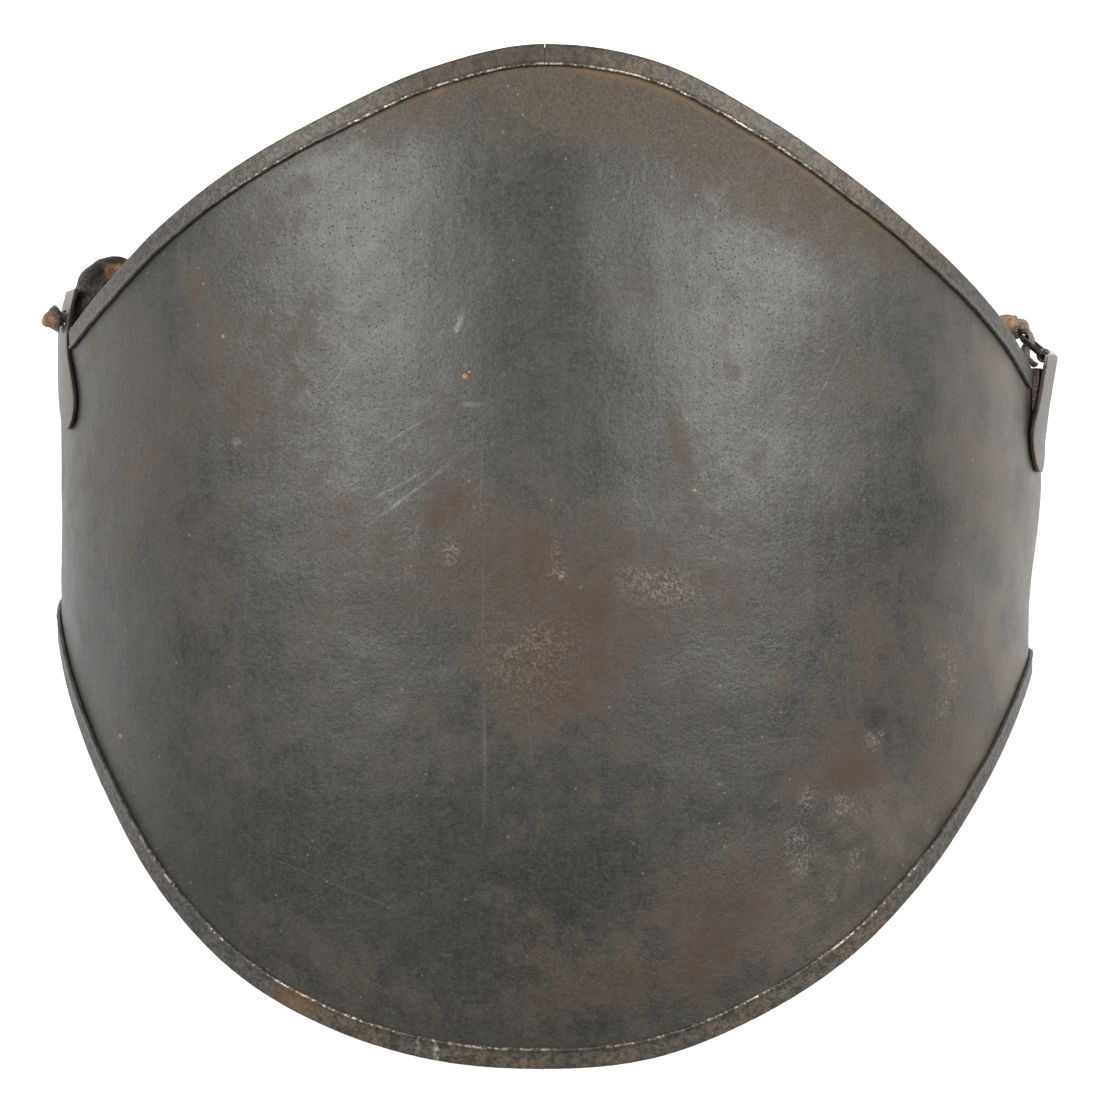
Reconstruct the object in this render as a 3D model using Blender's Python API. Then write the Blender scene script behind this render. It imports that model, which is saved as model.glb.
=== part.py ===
"""Breastplate of a cuirass, lying with its hollow side down on its two straight side edges.

Metres, +Z up. +Y runs to the neck, +X to the right of someone who looks at its front.
The origin is on the floor, at the middle of the box round the whole object.
"""
import math

import bmesh
import bpy
from mathutils import Vector

# The plate
PLATE_SHEET = 0.0020
HALF_WIDTH = 0.1725
RIGHT_SPREAD = 0.0045
SPREAD_HEIGHT = 0.050
CHEST_DEPTH = 0.150
SIDE_RETURN = 0.0225
NECK_RISE = 0.1643
WAIST_DROP = 0.1692
NECK_FALL = 0.009
WAIST_FALL = 0.016
PLATE_COLUMNS = 48
PLATE_ROWS = 20

# The folded binding round the curved edges
BINDING_WIDTH = 0.0060
BINDING_SHEET = 0.0009
BINDING_LIP = 0.0004
LIP_WIDTH_SHARE = 0.20
LIP_SLOPE_SHARE = 0.12
BINDING_JOINT = 0.0004
LOWER_JOINT_DEG = -14.3
BINDING_END_GAP = 0.0006
FLOOR_SETBACK = 0.0015

# The iron hangers on the upper side corners
HANGER_WIDTH = 0.0260
HANGER_NECK = 0.0200
HANGER_SHEET = 0.0013
HANGER_RISE = 0.0170
LEFT_HANGER_LENGTH = 0.0490
RIGHT_HANGER_LENGTH = 0.0405
LEFT_FOOT_DEG = -73.2
LEFT_TOP_DEG = -76.6
RIGHT_FOOT_DEG = 76.4
RIGHT_TOP_DEG = 76.0
PADDLE_SHARE = 0.35
NECK_SHARE = 0.60
FOOT_FLAT_SHARE = 0.18
STRAIGHT_SHARE = 0.67
INNER_COLUMN_SHARE = 0.60
LEFT_TOP_LEAN = -0.0030
RIGHT_TOP_FLARE = 0.0048
STAND_OFF_POWER = 1.25
RIVET_RADIUS = 0.0022
RIVET_HEAD_RADIUS = 0.0042
RIVET_HEAD_HEIGHT = 0.0016
SHOULDER_SHARE = 0.90
RIVET_UP = 0.0110
ROUND_SIDES = 16
SLOT_DROP = 0.0097
ROLL_WIDTH = 0.0110
ROLL_DROP = 0.0060

# The ring in the rolled top of the right hanger
RING_WIRE_RADIUS = 0.0010
RING_SPAN = 0.0092
RING_RISE_DEG = 40.0
RING_CORNER = 0.0022
RING_PLAY = 0.0012

# The leather
LEATHER_SHEET = 0.0026
LEATHER_WIDTH = 0.0150
LEATHER_REACH = 0.0200
EDGE_EASE = 0.3
PAD_WIDTH = 0.0185
PAD_LENGTH = 0.0150
PAD_RISE = 0.0065

CLEARANCE = 0.0003
FLOOR = 0.0
SMALL_STEP = 0.002
LEAST_TURN_DEG = 0.6

# Heights of the bound outline, from the middle of the front round to the side.
# The top columns are shares of NECK_RISE, the bottom ones of WAIST_DROP.
RIM_COLUMNS = ("around_deg", "top_left", "top_right", "bottom_left", "bottom_right")
RIM_ROWS = (
    (0, 1.000, 1.000, 1.000, 1.000),
    (12, 0.957, 0.966, 0.985, 0.980),
    (24, 0.869, 0.861, 0.928, 0.904),
    (36, 0.772, 0.735, 0.830, 0.792),
    (48, 0.661, 0.609, 0.677, 0.640),
    (60, 0.547, 0.492, 0.482, 0.472),
    (72, 0.468, 0.381, 0.302, 0.328),
    (82, 0.455, 0.322, 0.190, 0.262),
    (99, 0.440, 0.280, 0.120, 0.245),
)

# Shallow dents: place, reach as a share of HALF_WIDTH, depth as a share of PLATE_SHEET.
DENT_COLUMNS = ("around_deg", "height", "reach", "depth")
DENT_ROWS = (
    (-24, 0.34, 0.30, 0.35),
    (15, 0.52, 0.24, 0.30),
    (31, 0.20, 0.28, 0.40),
    (-2, -0.22, 0.26, 0.35),
    (42, -0.40, 0.22, 0.45),
    (-58, -0.20, 0.26, 0.35),
)

# The left strap, from its torn end down, through the slot and out to its pointed tip.
# inward and up are shares of LEATHER_REACH, wide of LEATHER_WIDTH, thick of LEATHER_SHEET.
# turn_deg twists the strap, and brings its lower long edge to the left of its way.
STRAP_COLUMNS = ("inward", "up", "wide", "thick", "turn_deg")
LEFT_STRAP_ROWS = (
    (1.12, 0.72, 0.85, 0.80, -62),
    (0.97, 0.75, 0.95, 1.20, -60),
    (0.80, 0.76, 1.00, 1.60, -57),
    (0.63, 0.73, 1.00, 1.90, -44),
    (0.49, 0.62, 1.00, 2.00, -28),
    (0.39, 0.46, 0.94, 1.90, -10),
    (0.30, 0.28, 0.82, 1.70, -3),
    (0.22, 0.10, 0.68, 1.20, 0),
    (0.13, 0.01, 0.58, 1.15, 0),
    (0.00, 0.00, 0.56, 1.30, 0),
    (-0.08, -0.02, 0.56, 1.40, 0),
    (-0.155, -0.03, 0.62, 3.20, 0),
    (-0.22, -0.04, 0.58, 2.70, 0),
    (-0.31, -0.07, 0.44, 1.60, 0),
    (-0.40, -0.11, 0.15, 0.35, 0),
)
# The right strap, from its torn end round the ring's inner bar and down to the hanger,
# measured from that bar.
RIGHT_STRAP_ROWS = (
    (0.52, 0.24, 0.75, 0.70, 30),
    (0.42, 0.27, 0.88, 1.50, 25),
    (0.31, 0.28, 0.92, 2.10, 18),
    (0.20, 0.26, 0.90, 2.20, 10),
    (0.10, 0.215, 0.84, 1.80, 3),
    (0.02, 0.16, 0.80, 1.10, 0),
    (-0.055, 0.10, 0.78, 0.60, 0),
    (-0.098, 0.00, 0.78, 0.45, 0),
    (-0.065, -0.09, 0.78, 0.60, 0),
    (0.00, -0.16, 0.80, 0.85, 0),
    (0.02, -0.25, 0.84, 0.85, 0),
    (-0.01, -0.33, 0.84, 0.80, 0),
    (-0.08, -0.40, 0.82, 0.75, 0),
    (-0.15, -0.45, 0.78, 0.65, 0),
)


def column(rows, names, name):
    """One named column of a table, as a list."""
    place = names.index(name)
    return [row[place] for row in rows]


def smooth_value(xs, ys, at):
    """A smooth curve through the table's points, level at its first point."""
    if at <= xs[0]:
        return ys[0]
    if at >= xs[-1]:
        return ys[-1]
    last = len(xs) - 1
    slopes = [0.0]
    for i in range(1, last):
        slopes.append((ys[i + 1] - ys[i - 1]) / (xs[i + 1] - xs[i - 1]))
    slopes.append((ys[last] - ys[last - 1]) / (xs[last] - xs[last - 1]))
    i = max(k for k in range(last) if xs[k] <= at)
    span = xs[i + 1] - xs[i]
    s = (at - xs[i]) / span
    start = ys[i] * (1 + 2 * s) * (1 - s) ** 2 + slopes[i] * span * s * (1 - s) ** 2
    end = ys[i + 1] * s * s * (3 - 2 * s) + slopes[i + 1] * span * s * s * (s - 1)
    return start + end


def smooth_step(share):
    share = min(1.0, max(0.0, share))
    return share * share * (3 - 2 * share)


def rim_height(around, edge):
    """Height of the top or bottom edge at an angle round the plate, in metres."""
    side = "left" if around < 0 else "right"
    degrees = column(RIM_ROWS, RIM_COLUMNS, "around_deg")
    shares = column(RIM_ROWS, RIM_COLUMNS, f"{edge}_{side}")
    share = smooth_value(degrees, shares, abs(math.degrees(around)))
    reach = CLEARANCE + BINDING_SHEET
    return share * NECK_RISE - reach if edge == "top" else reach - share * WAIST_DROP


def side_angle():
    """Angle from the middle of the front to the side edge that meets the floor."""
    return math.acos(-SIDE_RETURN / CHEST_DEPTH)


def half_width(around, height):
    """The right side stands out a little more at the arm than at the waist."""
    if around < 0:
        return HALF_WIDTH
    return HALF_WIDTH + RIGHT_SPREAD * smooth_step(height / SPREAD_HEIGHT + 0.5)


def fall_back(height):
    """How far the front falls back towards the neck and the waist."""
    if height > 0:
        return NECK_FALL * (height / NECK_RISE) ** 2
    return WAIST_FALL * (height / WAIST_DROP) ** 2


def dent_depth(around, height):
    depth = 0.0
    for row in DENT_ROWS:
        dent = dict(zip(DENT_COLUMNS, row))
        middle = math.radians(dent["around_deg"])
        up = height - dent["height"] * (NECK_RISE if dent["height"] > 0 else WAIST_DROP)
        along = (around - middle) * HALF_WIDTH
        reach = dent["reach"] * HALF_WIDTH
        away = math.hypot(along, up) / reach
        depth += dent["depth"] * PLATE_SHEET * (1 - smooth_step(away))
    return depth


def smooth_shell(around, height):
    """The plate's outer face before its dents."""
    rise = math.cos(around)
    depth = CHEST_DEPTH - (fall_back(height) if rise > 0 else 0.0)
    return Vector((half_width(around, height) * math.sin(around), height, SIDE_RETURN + depth * rise))


def shell_normal(around, height):
    step = SMALL_STEP
    across = smooth_shell(around + step, height) - smooth_shell(around - step, height)
    along = smooth_shell(around, height + step) - smooth_shell(around, height - step)
    return across.cross(along).normalized()


def shell_point(around, height, out=0.0):
    """A point out from the plate's outer face, or in from it where out is negative."""
    normal = shell_normal(around, height)
    return smooth_shell(around, height) + normal * (out - dent_depth(around, height))


def arc_per_radian(around):
    """Length of the plate's face for each radian at an angle round it."""
    return math.hypot(HALF_WIDTH * math.cos(around), CHEST_DEPTH * math.sin(around))


def plate_angles():
    """Angles of the plate's columns, which the binding's sections share."""
    limit = side_angle()
    return [-limit + 2 * limit * i / PLATE_COLUMNS for i in range(PLATE_COLUMNS + 1)]


def iron_material(name, colour, roughness):
    material = bpy.data.materials.new(name)
    material.use_nodes = True
    shader = material.node_tree.nodes["Principled BSDF"]
    shader.inputs["Base Color"].default_value = (*colour, 1.0)
    shader.inputs["Metallic"].default_value = 0.85
    shader.inputs["Roughness"].default_value = roughness
    return material


def leather_material(name, colour, roughness):
    material = iron_material(name, colour, roughness)
    shader = material.node_tree.nodes["Principled BSDF"]
    shader.inputs["Metallic"].default_value = 0.0
    return material


def add_object(name, shape, material, sharp_deg=35):
    """Turn a closed bmesh into a named object with faces that point outwards."""
    bmesh.ops.recalc_face_normals(shape, faces=shape.faces)
    mesh = bpy.data.meshes.new(name)
    shape.to_mesh(mesh)
    shape.free()
    mesh.shade_smooth()
    mesh.set_sharp_from_angle(angle=math.radians(sharp_deg))
    mesh.materials.append(material)
    made = bpy.data.objects.new(name, mesh)
    bpy.context.scene.collection.objects.link(made)
    return made


def sheet_solid(front, back, holes=()):
    """A closed sheet between two grids of points, with whole cells left out as holes."""
    shape = bmesh.new()
    rows = len(front)
    columns = len(front[0])
    outer = [[shape.verts.new(point) for point in row] for row in front]
    inner = [[shape.verts.new(point) for point in row] for row in back]
    cells = [(r, c) for r in range(rows - 1) for c in range(columns - 1) if (r, c) not in holes]
    edges = {}
    for r, c in cells:
        loop = ((r, c), (r, c + 1), (r + 1, c + 1), (r + 1, c))
        shape.faces.new([outer[i][j] for i, j in loop])
        shape.faces.new([inner[i][j] for i, j in reversed(loop)])
        for start, end in zip(loop, loop[1:] + loop[:1]):
            if (end, start) in edges:
                del edges[(end, start)]
            else:
                edges[(start, end)] = True
    for (r0, c0), (r1, c1) in edges:
        shape.faces.new((outer[r1][c1], outer[r0][c0], inner[r0][c0], inner[r1][c1]))
    loose = [vert for vert in shape.verts if not vert.link_faces]
    bmesh.ops.delete(shape, geom=loose, context="VERTS")
    return shape


def swept_solid(sections, closed=False):
    """A closed solid through rings of points, with flat ends unless it closes on itself."""
    shape = bmesh.new()
    rings = [[shape.verts.new(point) for point in section] for section in sections]
    count = len(rings[0])
    pairs = list(zip(rings, rings[1:]))
    if closed:
        pairs.append((rings[-1], rings[0]))
    for near, far in pairs:
        for i in range(count):
            j = (i + 1) % count
            shape.faces.new((near[i], near[j], far[j], far[i]))
    if not closed:
        shape.faces.new(rings[0])
        shape.faces.new(rings[-1])
    return shape


def plate_grid(out, floor_edge):
    """The plate's outer or inner face, with both side edges brought down to the floor."""
    grid = []
    angles = plate_angles()
    for r in range(PLATE_ROWS + 1):
        row = []
        for around in angles:
            low = rim_height(around, "bottom")
            high = rim_height(around, "top")
            row.append(shell_point(around, low + (high - low) * r / PLATE_ROWS, out))
        row[0].z = floor_edge
        row[-1].z = floor_edge
        grid.append(row)
    return grid


def make_breastplate(material):
    shape = sheet_solid(plate_grid(0.0, FLOOR), plate_grid(-PLATE_SHEET, FLOOR))
    return add_object("breastplate", shape, material)


def rim_frame(around, edge):
    """Place on the plate's edge, with the ways off the edge and out of the face."""
    step = SMALL_STEP
    sign = 1 if edge == "top" else -1
    here = shell_point(around, rim_height(around, edge))
    before = shell_point(around - step, rim_height(around - step, edge))
    after = shell_point(around + step, rim_height(around + step, edge))
    along = (after - before).normalized()
    normal = shell_normal(around, rim_height(around, edge))
    off = normal.cross(along).normalized() * sign
    return here, off, normal


def binding_section(around, edge):
    """The folded strip's section: a U round the plate's edge with a raised inner lip."""
    here, off, normal = rim_frame(around, edge)
    face = CLEARANCE + BINDING_SHEET
    back = -PLATE_SHEET - face
    bend = BINDING_SHEET
    lip = BINDING_WIDTH * LIP_WIDTH_SHARE
    slope = BINDING_WIDTH * LIP_SLOPE_SHARE
    outline = (
        (-BINDING_WIDTH, face + BINDING_LIP),
        (-BINDING_WIDTH + lip, face + BINDING_LIP / 2),
        (-BINDING_WIDTH + lip + slope, face),
        (face - bend, face),
        (face, face - bend),
        (face, back + bend),
        (face - bend, back),
        (-BINDING_WIDTH, back),
        (-BINDING_WIDTH, back + BINDING_SHEET),
        (CLEARANCE, back + BINDING_SHEET),
        (CLEARANCE, CLEARANCE),
        (-BINDING_WIDTH, CLEARANCE),
    )
    return [here + off * out + normal * up for out, up in outline]


def make_binding(name, edge, start, end, material):
    """One strip of binding between two angles, with sections at the plate's own columns."""
    least = math.radians(LEAST_TURN_DEG)
    inside = [around for around in plate_angles() if start + least < around < end - least]
    sections = [binding_section(around, edge) for around in (start, *inside, end)]
    return add_object(name, swept_solid(sections), material, 50)


def make_bindings(left, right, material):
    """Four strips: the upper two end beside the hangers, the lower two above the floor."""
    half_joint = BINDING_JOINT / 2 / HALF_WIDTH
    corner = side_angle() - FLOOR_SETBACK / CHEST_DEPTH
    lower = math.radians(LOWER_JOINT_DEG)
    strips = (
        ("binding_upper_left", "top", left.edge_at_rim(), -half_joint),
        ("binding_upper_right", "top", half_joint, right.edge_at_rim()),
        ("binding_lower_left", "bottom", -corner, lower - half_joint),
        ("binding_lower_right", "bottom", lower + half_joint, corner),
    )
    for name, edge, start, end in strips:
        make_binding(name, edge, start, end, material)


class Hanger:
    """Where one iron hanger lies on the plate, and how it stands off towards its top."""

    def __init__(self, side, foot_deg, top_deg, length, top_stand_off, top_drop=0.0):
        self.side = side
        self.foot_angle = math.radians(foot_deg)
        self.top_angle = math.radians(top_deg)
        self.top = rim_height(self.top_angle, "top") + HANGER_RISE - top_drop
        self.low = self.top - length
        self.length = length
        self.top_stand_off = top_stand_off
        if top_stand_off > 0:
            self.leave = self.low + length / 4
        else:
            self.leave = self.highest_rim() + PLATE_SHEET / 2

    def around(self, height):
        """Angle of the middle line, which swings over from the foot to the neck."""
        share = smooth_step((height - self.low) / (self.length * NECK_SHARE))
        return self.foot_angle + (self.top_angle - self.foot_angle) * share

    def highest_rim(self):
        """Height of the plate's edge where it is highest under the neck."""
        half = HANGER_NECK / 2 / arc_per_radian(self.top_angle)
        return max(rim_height(self.top_angle + turn, "top") for turn in (-half, 0.0, half))

    def edge_at_rim(self):
        """Angle of the edge nearest the plate's middle, over the height of the binding."""
        rim = rim_height(self.top_angle, "top")
        edges = []
        for height in (rim, rim - BINDING_WIDTH / 2, rim - BINDING_WIDTH):
            around = self.around(height)
            reach = (self.half_at(height) + BINDING_END_GAP) / arc_per_radian(around)
            edges.append(abs(around) - reach)
        return math.copysign(min(edges), self.top_angle)

    def above(self, height):
        """Share of the way from where the hanger leaves the plate's face to its top."""
        return max(0.0, (height - self.leave) / (self.top - self.leave))

    def stand_off(self, height):
        """Gap between the plate's face and the hanger's inner face."""
        rise = self.above(height) ** STAND_OFF_POWER
        return CLEARANCE + (self.top_stand_off - CLEARANCE) * rise

    def half_at(self, height):
        """Half the width: round at the foot, widest just above it, and narrower at the neck."""
        radius = HANGER_WIDTH / 2
        up = (height - self.low) / self.length
        narrowing = smooth_step((up - PADDLE_SHARE) / (NECK_SHARE - PADDLE_SHARE))
        straight = radius + (HANGER_NECK / 2 - radius) * narrowing
        below = max(0.0, radius - (height - self.low))
        least = radius * FOOT_FLAT_SHARE
        return min(straight, math.sqrt(max(radius * radius - below * below, least * least)))

    def point(self, across, height, out):
        """A point of the hanger, which is bent to the plate below and straight across its top."""
        out += self.stand_off(height)
        around = self.around(height)
        curved = shell_point(around + across / arc_per_radian(around), height, out)
        after = shell_point(around + SMALL_STEP, height, out)
        before = shell_point(around - SMALL_STEP, height, out)
        straight = shell_point(around, height, out) + (after - before).normalized() * across
        return curved.lerp(straight, smooth_step(self.above(height) / STRAIGHT_SHARE))

    def frame(self, drop=0.0):
        """The middle of the sheet below the top, the way into the body, up, and across the hanger."""
        height = self.top - drop
        middle = self.point(0.0, height, HANGER_SHEET / 2)
        half = HANGER_NECK / 2
        wide = (self.point(half, height, 0.0) - self.point(-half, height, 0.0)).normalized()
        up = Vector((0.0, 1.0, 0.0))
        inward = wide.cross(up).normalized()
        if inward.x * middle.x > 0:
            inward = -inward
        return middle, inward, up, wide


def hanger_heights(hanger, slot_low, slot_high):
    """Heights of the hanger's rows, with two of them at the slot's ends."""
    radius = HANGER_WIDTH / 2
    round_end = [hanger.low + radius * (1 - math.cos(math.radians(a))) for a in (0, 22, 42, 62, 82)]
    middle = [round_end[-1] + (slot_low - round_end[-1]) * k / 7 for k in range(1, 7)]
    return [*round_end, *middle, slot_low, (slot_low + slot_high) / 2, slot_high, hanger.top]


def hanger_columns(hanger, height, slot_half):
    """Places across the hanger, with two of them at the slot's sides."""
    half = hanger.half_at(height)
    inner = min(slot_half, half * INNER_COLUMN_SHARE)
    return [-half, -(half + inner) / 2, -inner, 0.0, inner, (half + inner) / 2, half]


def make_left_hanger(hanger, material):
    """A flat tongue with a slot above the rim, which the left strap passes through."""
    slot_middle, slot_half, slot_reach = left_slot(hanger)
    heights = hanger_heights(hanger, slot_middle - slot_reach, slot_middle + slot_reach)
    grids = []
    for out in (HANGER_SHEET, 0.0):
        grid = []
        for height in heights:
            places = hanger_columns(hanger, height, slot_half)
            grid.append([hanger.point(across, height, out) for across in places])
        grids.append(grid)
    slot_rows = (len(heights) - 4, len(heights) - 3)
    holes = {(r, c) for r in slot_rows for c in (2, 3)}
    return add_object("hanger_left", sheet_solid(*grids, holes), material)


def make_right_hanger(hanger, material):
    """A tongue whose top is rolled inward round the ring's outer bar."""
    slot_half = HANGER_NECK / 4
    rows_out = []
    rows_in = []
    straight = hanger_heights(hanger, hanger.top - ROLL_DROP, hanger.top - ROLL_DROP / 2)
    for height in straight:
        places = hanger_columns(hanger, height, slot_half)
        rows_out.append([hanger.point(across, height, HANGER_SHEET) for across in places])
        rows_in.append([hanger.point(across, height, 0.0) for across in places])
    middle, inward, up, wide = hanger.frame()
    inner_radius = RING_WIRE_RADIUS + CLEARANCE
    roll_middle = middle + inward * (inner_radius + HANGER_SHEET / 2)
    narrow = ROLL_WIDTH / HANGER_NECK
    places = [across * narrow for across in hanger_columns(hanger, hanger.top, slot_half)]
    for degrees in range(30, 271, 30):
        turn = math.radians(degrees)
        way = -inward * math.cos(turn) + up * math.sin(turn)
        outer = roll_middle + way * (inner_radius + HANGER_SHEET)
        inner = roll_middle + way * inner_radius
        rows_out.append([outer + wide * across for across in places])
        rows_in.append([inner + wide * across for across in places])
    return add_object("hanger_right", sheet_solid(rows_out, rows_in), material), roll_middle


def left_slot(hanger):
    """Middle height, half length across and half height of the slot, round the strap in it."""
    through = min(LEFT_STRAP_ROWS, key=lambda row: abs(row[0]))
    row = dict(zip(STRAP_COLUMNS, through))
    middle = hanger.top - SLOT_DROP
    half_across = row["wide"] * LEATHER_WIDTH / 2 + 2 * CLEARANCE
    half_high = row["thick"] * LEATHER_SHEET / 2 + 3 * CLEARANCE
    return middle, half_across, half_high


def strap_section(centre, along, level, wide, thick, turn):
    """Eight points round a strap's section, with its long edges eased."""
    side = along.cross(level).normalized()
    wide_way = level * math.cos(turn) - side * math.sin(turn)
    thin_way = side * math.cos(turn) + level * math.sin(turn)
    half = wide / 2
    flat = half - EDGE_EASE * thick / 2
    low = thick / 2
    eased = low * (1 - EDGE_EASE)
    corners = ((flat, low), (half, eased), (half, -eased), (flat, -low),
               (-flat, -low), (-half, -eased), (-half, eased), (-flat, low))
    return [centre + wide_way * w + thin_way * t for w, t in corners]


def make_strap(name, hanger, middle, rows, material):
    """A leather strap along a table's line, measured from the point that holds it."""
    _, inward, up, level = hanger.frame(SLOT_DROP)
    if level.z < 0:
        level = -level
    stations = [dict(zip(STRAP_COLUMNS, row)) for row in rows]
    line = []
    for station in stations:
        way = inward * station["inward"] + up * station["up"]
        line.append(middle + way * LEATHER_REACH)
    sections = []
    for i, station in enumerate(stations):
        along = (line[min(i + 1, len(line) - 1)] - line[max(i - 1, 0)]).normalized()
        wide = station["wide"] * LEATHER_WIDTH
        thick = station["thick"] * LEATHER_SHEET
        turn = math.radians(station["turn_deg"]) * (1 if hanger.side == "left" else -1)
        sections.append(strap_section(line[i], along, level, wide, thick, turn))
    return add_object(name, swept_solid(sections), material, 60)


def make_pad(hanger, material):
    """The leather layer between the plate's face and the right hanger."""
    high = rim_height(hanger.top_angle, "top") + PAD_RISE
    grids = []
    rows = 6
    columns = 4
    for side in ("outer", "inner"):
        grid = []
        for r in range(rows + 1):
            height = high - PAD_LENGTH + PAD_LENGTH * r / rows
            thick = min(LEATHER_SHEET, hanger.stand_off(height) - 2 * CLEARANCE)
            out = CLEARANCE + (thick if side == "outer" else 0.0)
            grid.append([hanger_face(hanger, PAD_WIDTH * (c / columns - 0.5), height, out)
                         for c in range(columns + 1)])
        grids.append(grid)
    return add_object("leather_pad_right", sheet_solid(*grids), material)


def hanger_face(hanger, across, height, out):
    """A point out from the plate's face, beside the hanger's own line."""
    around = hanger.around(height)
    return shell_point(around + across / arc_per_radian(around), height, out)


def ring_span_way(hanger):
    """The way across the ring, from its outer bar to its inner one."""
    _, inward, up, _ = hanger.frame()
    rise = math.radians(RING_RISE_DEG)
    return inward * math.cos(rise) + up * math.sin(rise)


def make_ring(hanger, roll_middle, material):
    """A four-sided iron ring with round corners, one bar inside the hanger's roll."""
    wide = hanger.frame()[3]
    span_way = ring_span_way(hanger)
    half_wide = ROLL_WIDTH / 2 + RING_PLAY + RING_CORNER
    corners = ((0, -1), (1, -1), (1, 1), (0, 1))
    sides = 8
    line = []
    for k, (far, end) in enumerate(corners):
        turn_middle = (roll_middle + span_way * (RING_CORNER + far * (RING_SPAN - 2 * RING_CORNER))
                       + wide * end * (half_wide - RING_CORNER))
        for step in range(4):
            turn = math.radians(180 + 90 * k + 30 * step)
            way = span_way * math.cos(turn) + wide * math.sin(turn)
            line.append((turn_middle + way * RING_CORNER, way))
    flat = span_way.cross(wide).normalized()
    sections = []
    for point, way in line:
        section = []
        for i in range(sides):
            turn = 2 * math.pi * i / sides
            section.append(point + (way * math.cos(turn) + flat * math.sin(turn)) * RING_WIRE_RADIUS)
        sections.append(section)
    return add_object("ring_right", swept_solid(sections, closed=True), material, 60)


def make_rivet(hanger, material):
    """A plain rivet through the plate, with its head on the hidden side."""
    height = hanger.low + RIVET_UP
    around = hanger.around(height)
    here = shell_point(around, height)
    normal = shell_normal(around, height)
    side = normal.orthogonal().normalized()
    other = normal.cross(side)
    back = -PLATE_SHEET - CLEARANCE
    head = back - RIVET_HEAD_HEIGHT
    shoulder = back - RIVET_HEAD_HEIGHT / 2
    profile = ((0.0, RIVET_RADIUS), (back, RIVET_RADIUS), (back, RIVET_HEAD_RADIUS),
               (shoulder, RIVET_HEAD_RADIUS * SHOULDER_SHARE), (head, RIVET_HEAD_RADIUS / 2))
    turns = [2 * math.pi * i / ROUND_SIDES for i in range(ROUND_SIDES)]
    ways = [side * math.cos(turn) + other * math.sin(turn) for turn in turns]
    sections = []
    for out, radius in profile:
        sections.append([here + normal * out + way * radius for way in ways])
    add_object(f"rivet_{hanger.side}", swept_solid(sections), material, 40)
    return here, normal


def drill_plate(plate, here, normal, side):
    """The rivet's hole through the plate."""
    turn = normal.to_track_quat("Z", "Y").to_euler()
    bpy.ops.mesh.primitive_cylinder_add(vertices=ROUND_SIDES, radius=RIVET_RADIUS + CLEARANCE,
                                        depth=PLATE_SHEET * 6, location=here, rotation=turn)
    cutter = bpy.context.object
    cutter.name = f"rivet_hole_{side}"
    cutter.hide_render = True
    cutter.display_type = "WIRE"
    cut = plate.modifiers.new(f"rivet hole {side}", "BOOLEAN")
    cut.operation = "DIFFERENCE"
    cut.object = cutter


def centre_on_floor():
    """Move everything so that the middle of the whole object's box stands over the origin."""
    bpy.context.view_layer.update()
    solids = [o for o in bpy.context.scene.objects if not o.hide_render]
    corners = [o.matrix_world @ Vector(corner) for o in solids for corner in o.bound_box]
    shift = Vector((0.0, 0.0, -min(corner.z for corner in corners)))
    for axis in (0, 1):
        values = [corner[axis] for corner in corners]
        shift[axis] = -(min(values) + max(values)) / 2
    for made in bpy.context.scene.objects:
        made.location += shift


def main():
    for old in list(bpy.data.objects):
        bpy.data.objects.remove(old)
    plate_iron = iron_material("patinated iron", (0.075, 0.075, 0.072), 0.42)
    binding_iron = iron_material("worn binding iron", (0.085, 0.070, 0.060), 0.50)
    hanger_iron = iron_material("hanger iron", (0.095, 0.090, 0.082), 0.45)
    ring_iron = iron_material("dark ring iron", (0.035, 0.033, 0.032), 0.55)
    leather = leather_material("old leather", (0.110, 0.060, 0.038), 0.80)

    plate = make_breastplate(plate_iron)
    left = Hanger("left", LEFT_FOOT_DEG, LEFT_TOP_DEG, LEFT_HANGER_LENGTH, LEFT_TOP_LEAN)
    right = Hanger("right", RIGHT_FOOT_DEG, RIGHT_TOP_DEG, RIGHT_HANGER_LENGTH, RIGHT_TOP_FLARE, ROLL_DROP)
    make_bindings(left, right, binding_iron)
    make_left_hanger(left, hanger_iron)
    roll_middle = make_right_hanger(right, hanger_iron)[1]
    for hanger in (left, right):
        here, normal = make_rivet(hanger, hanger_iron)
        drill_plate(plate, here, normal, hanger.side)
    make_ring(right, roll_middle, ring_iron)
    make_strap("strap_left", left, left.frame(SLOT_DROP)[0], LEFT_STRAP_ROWS, leather)
    inner_bar = roll_middle + ring_span_way(right) * RING_SPAN
    make_strap("strap_right", right, inner_bar, RIGHT_STRAP_ROWS, leather)
    make_pad(right, leather)
    centre_on_floor()


main()
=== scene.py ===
import math

import bmesh
import bpy
import numpy as np
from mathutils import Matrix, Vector, noise


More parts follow.
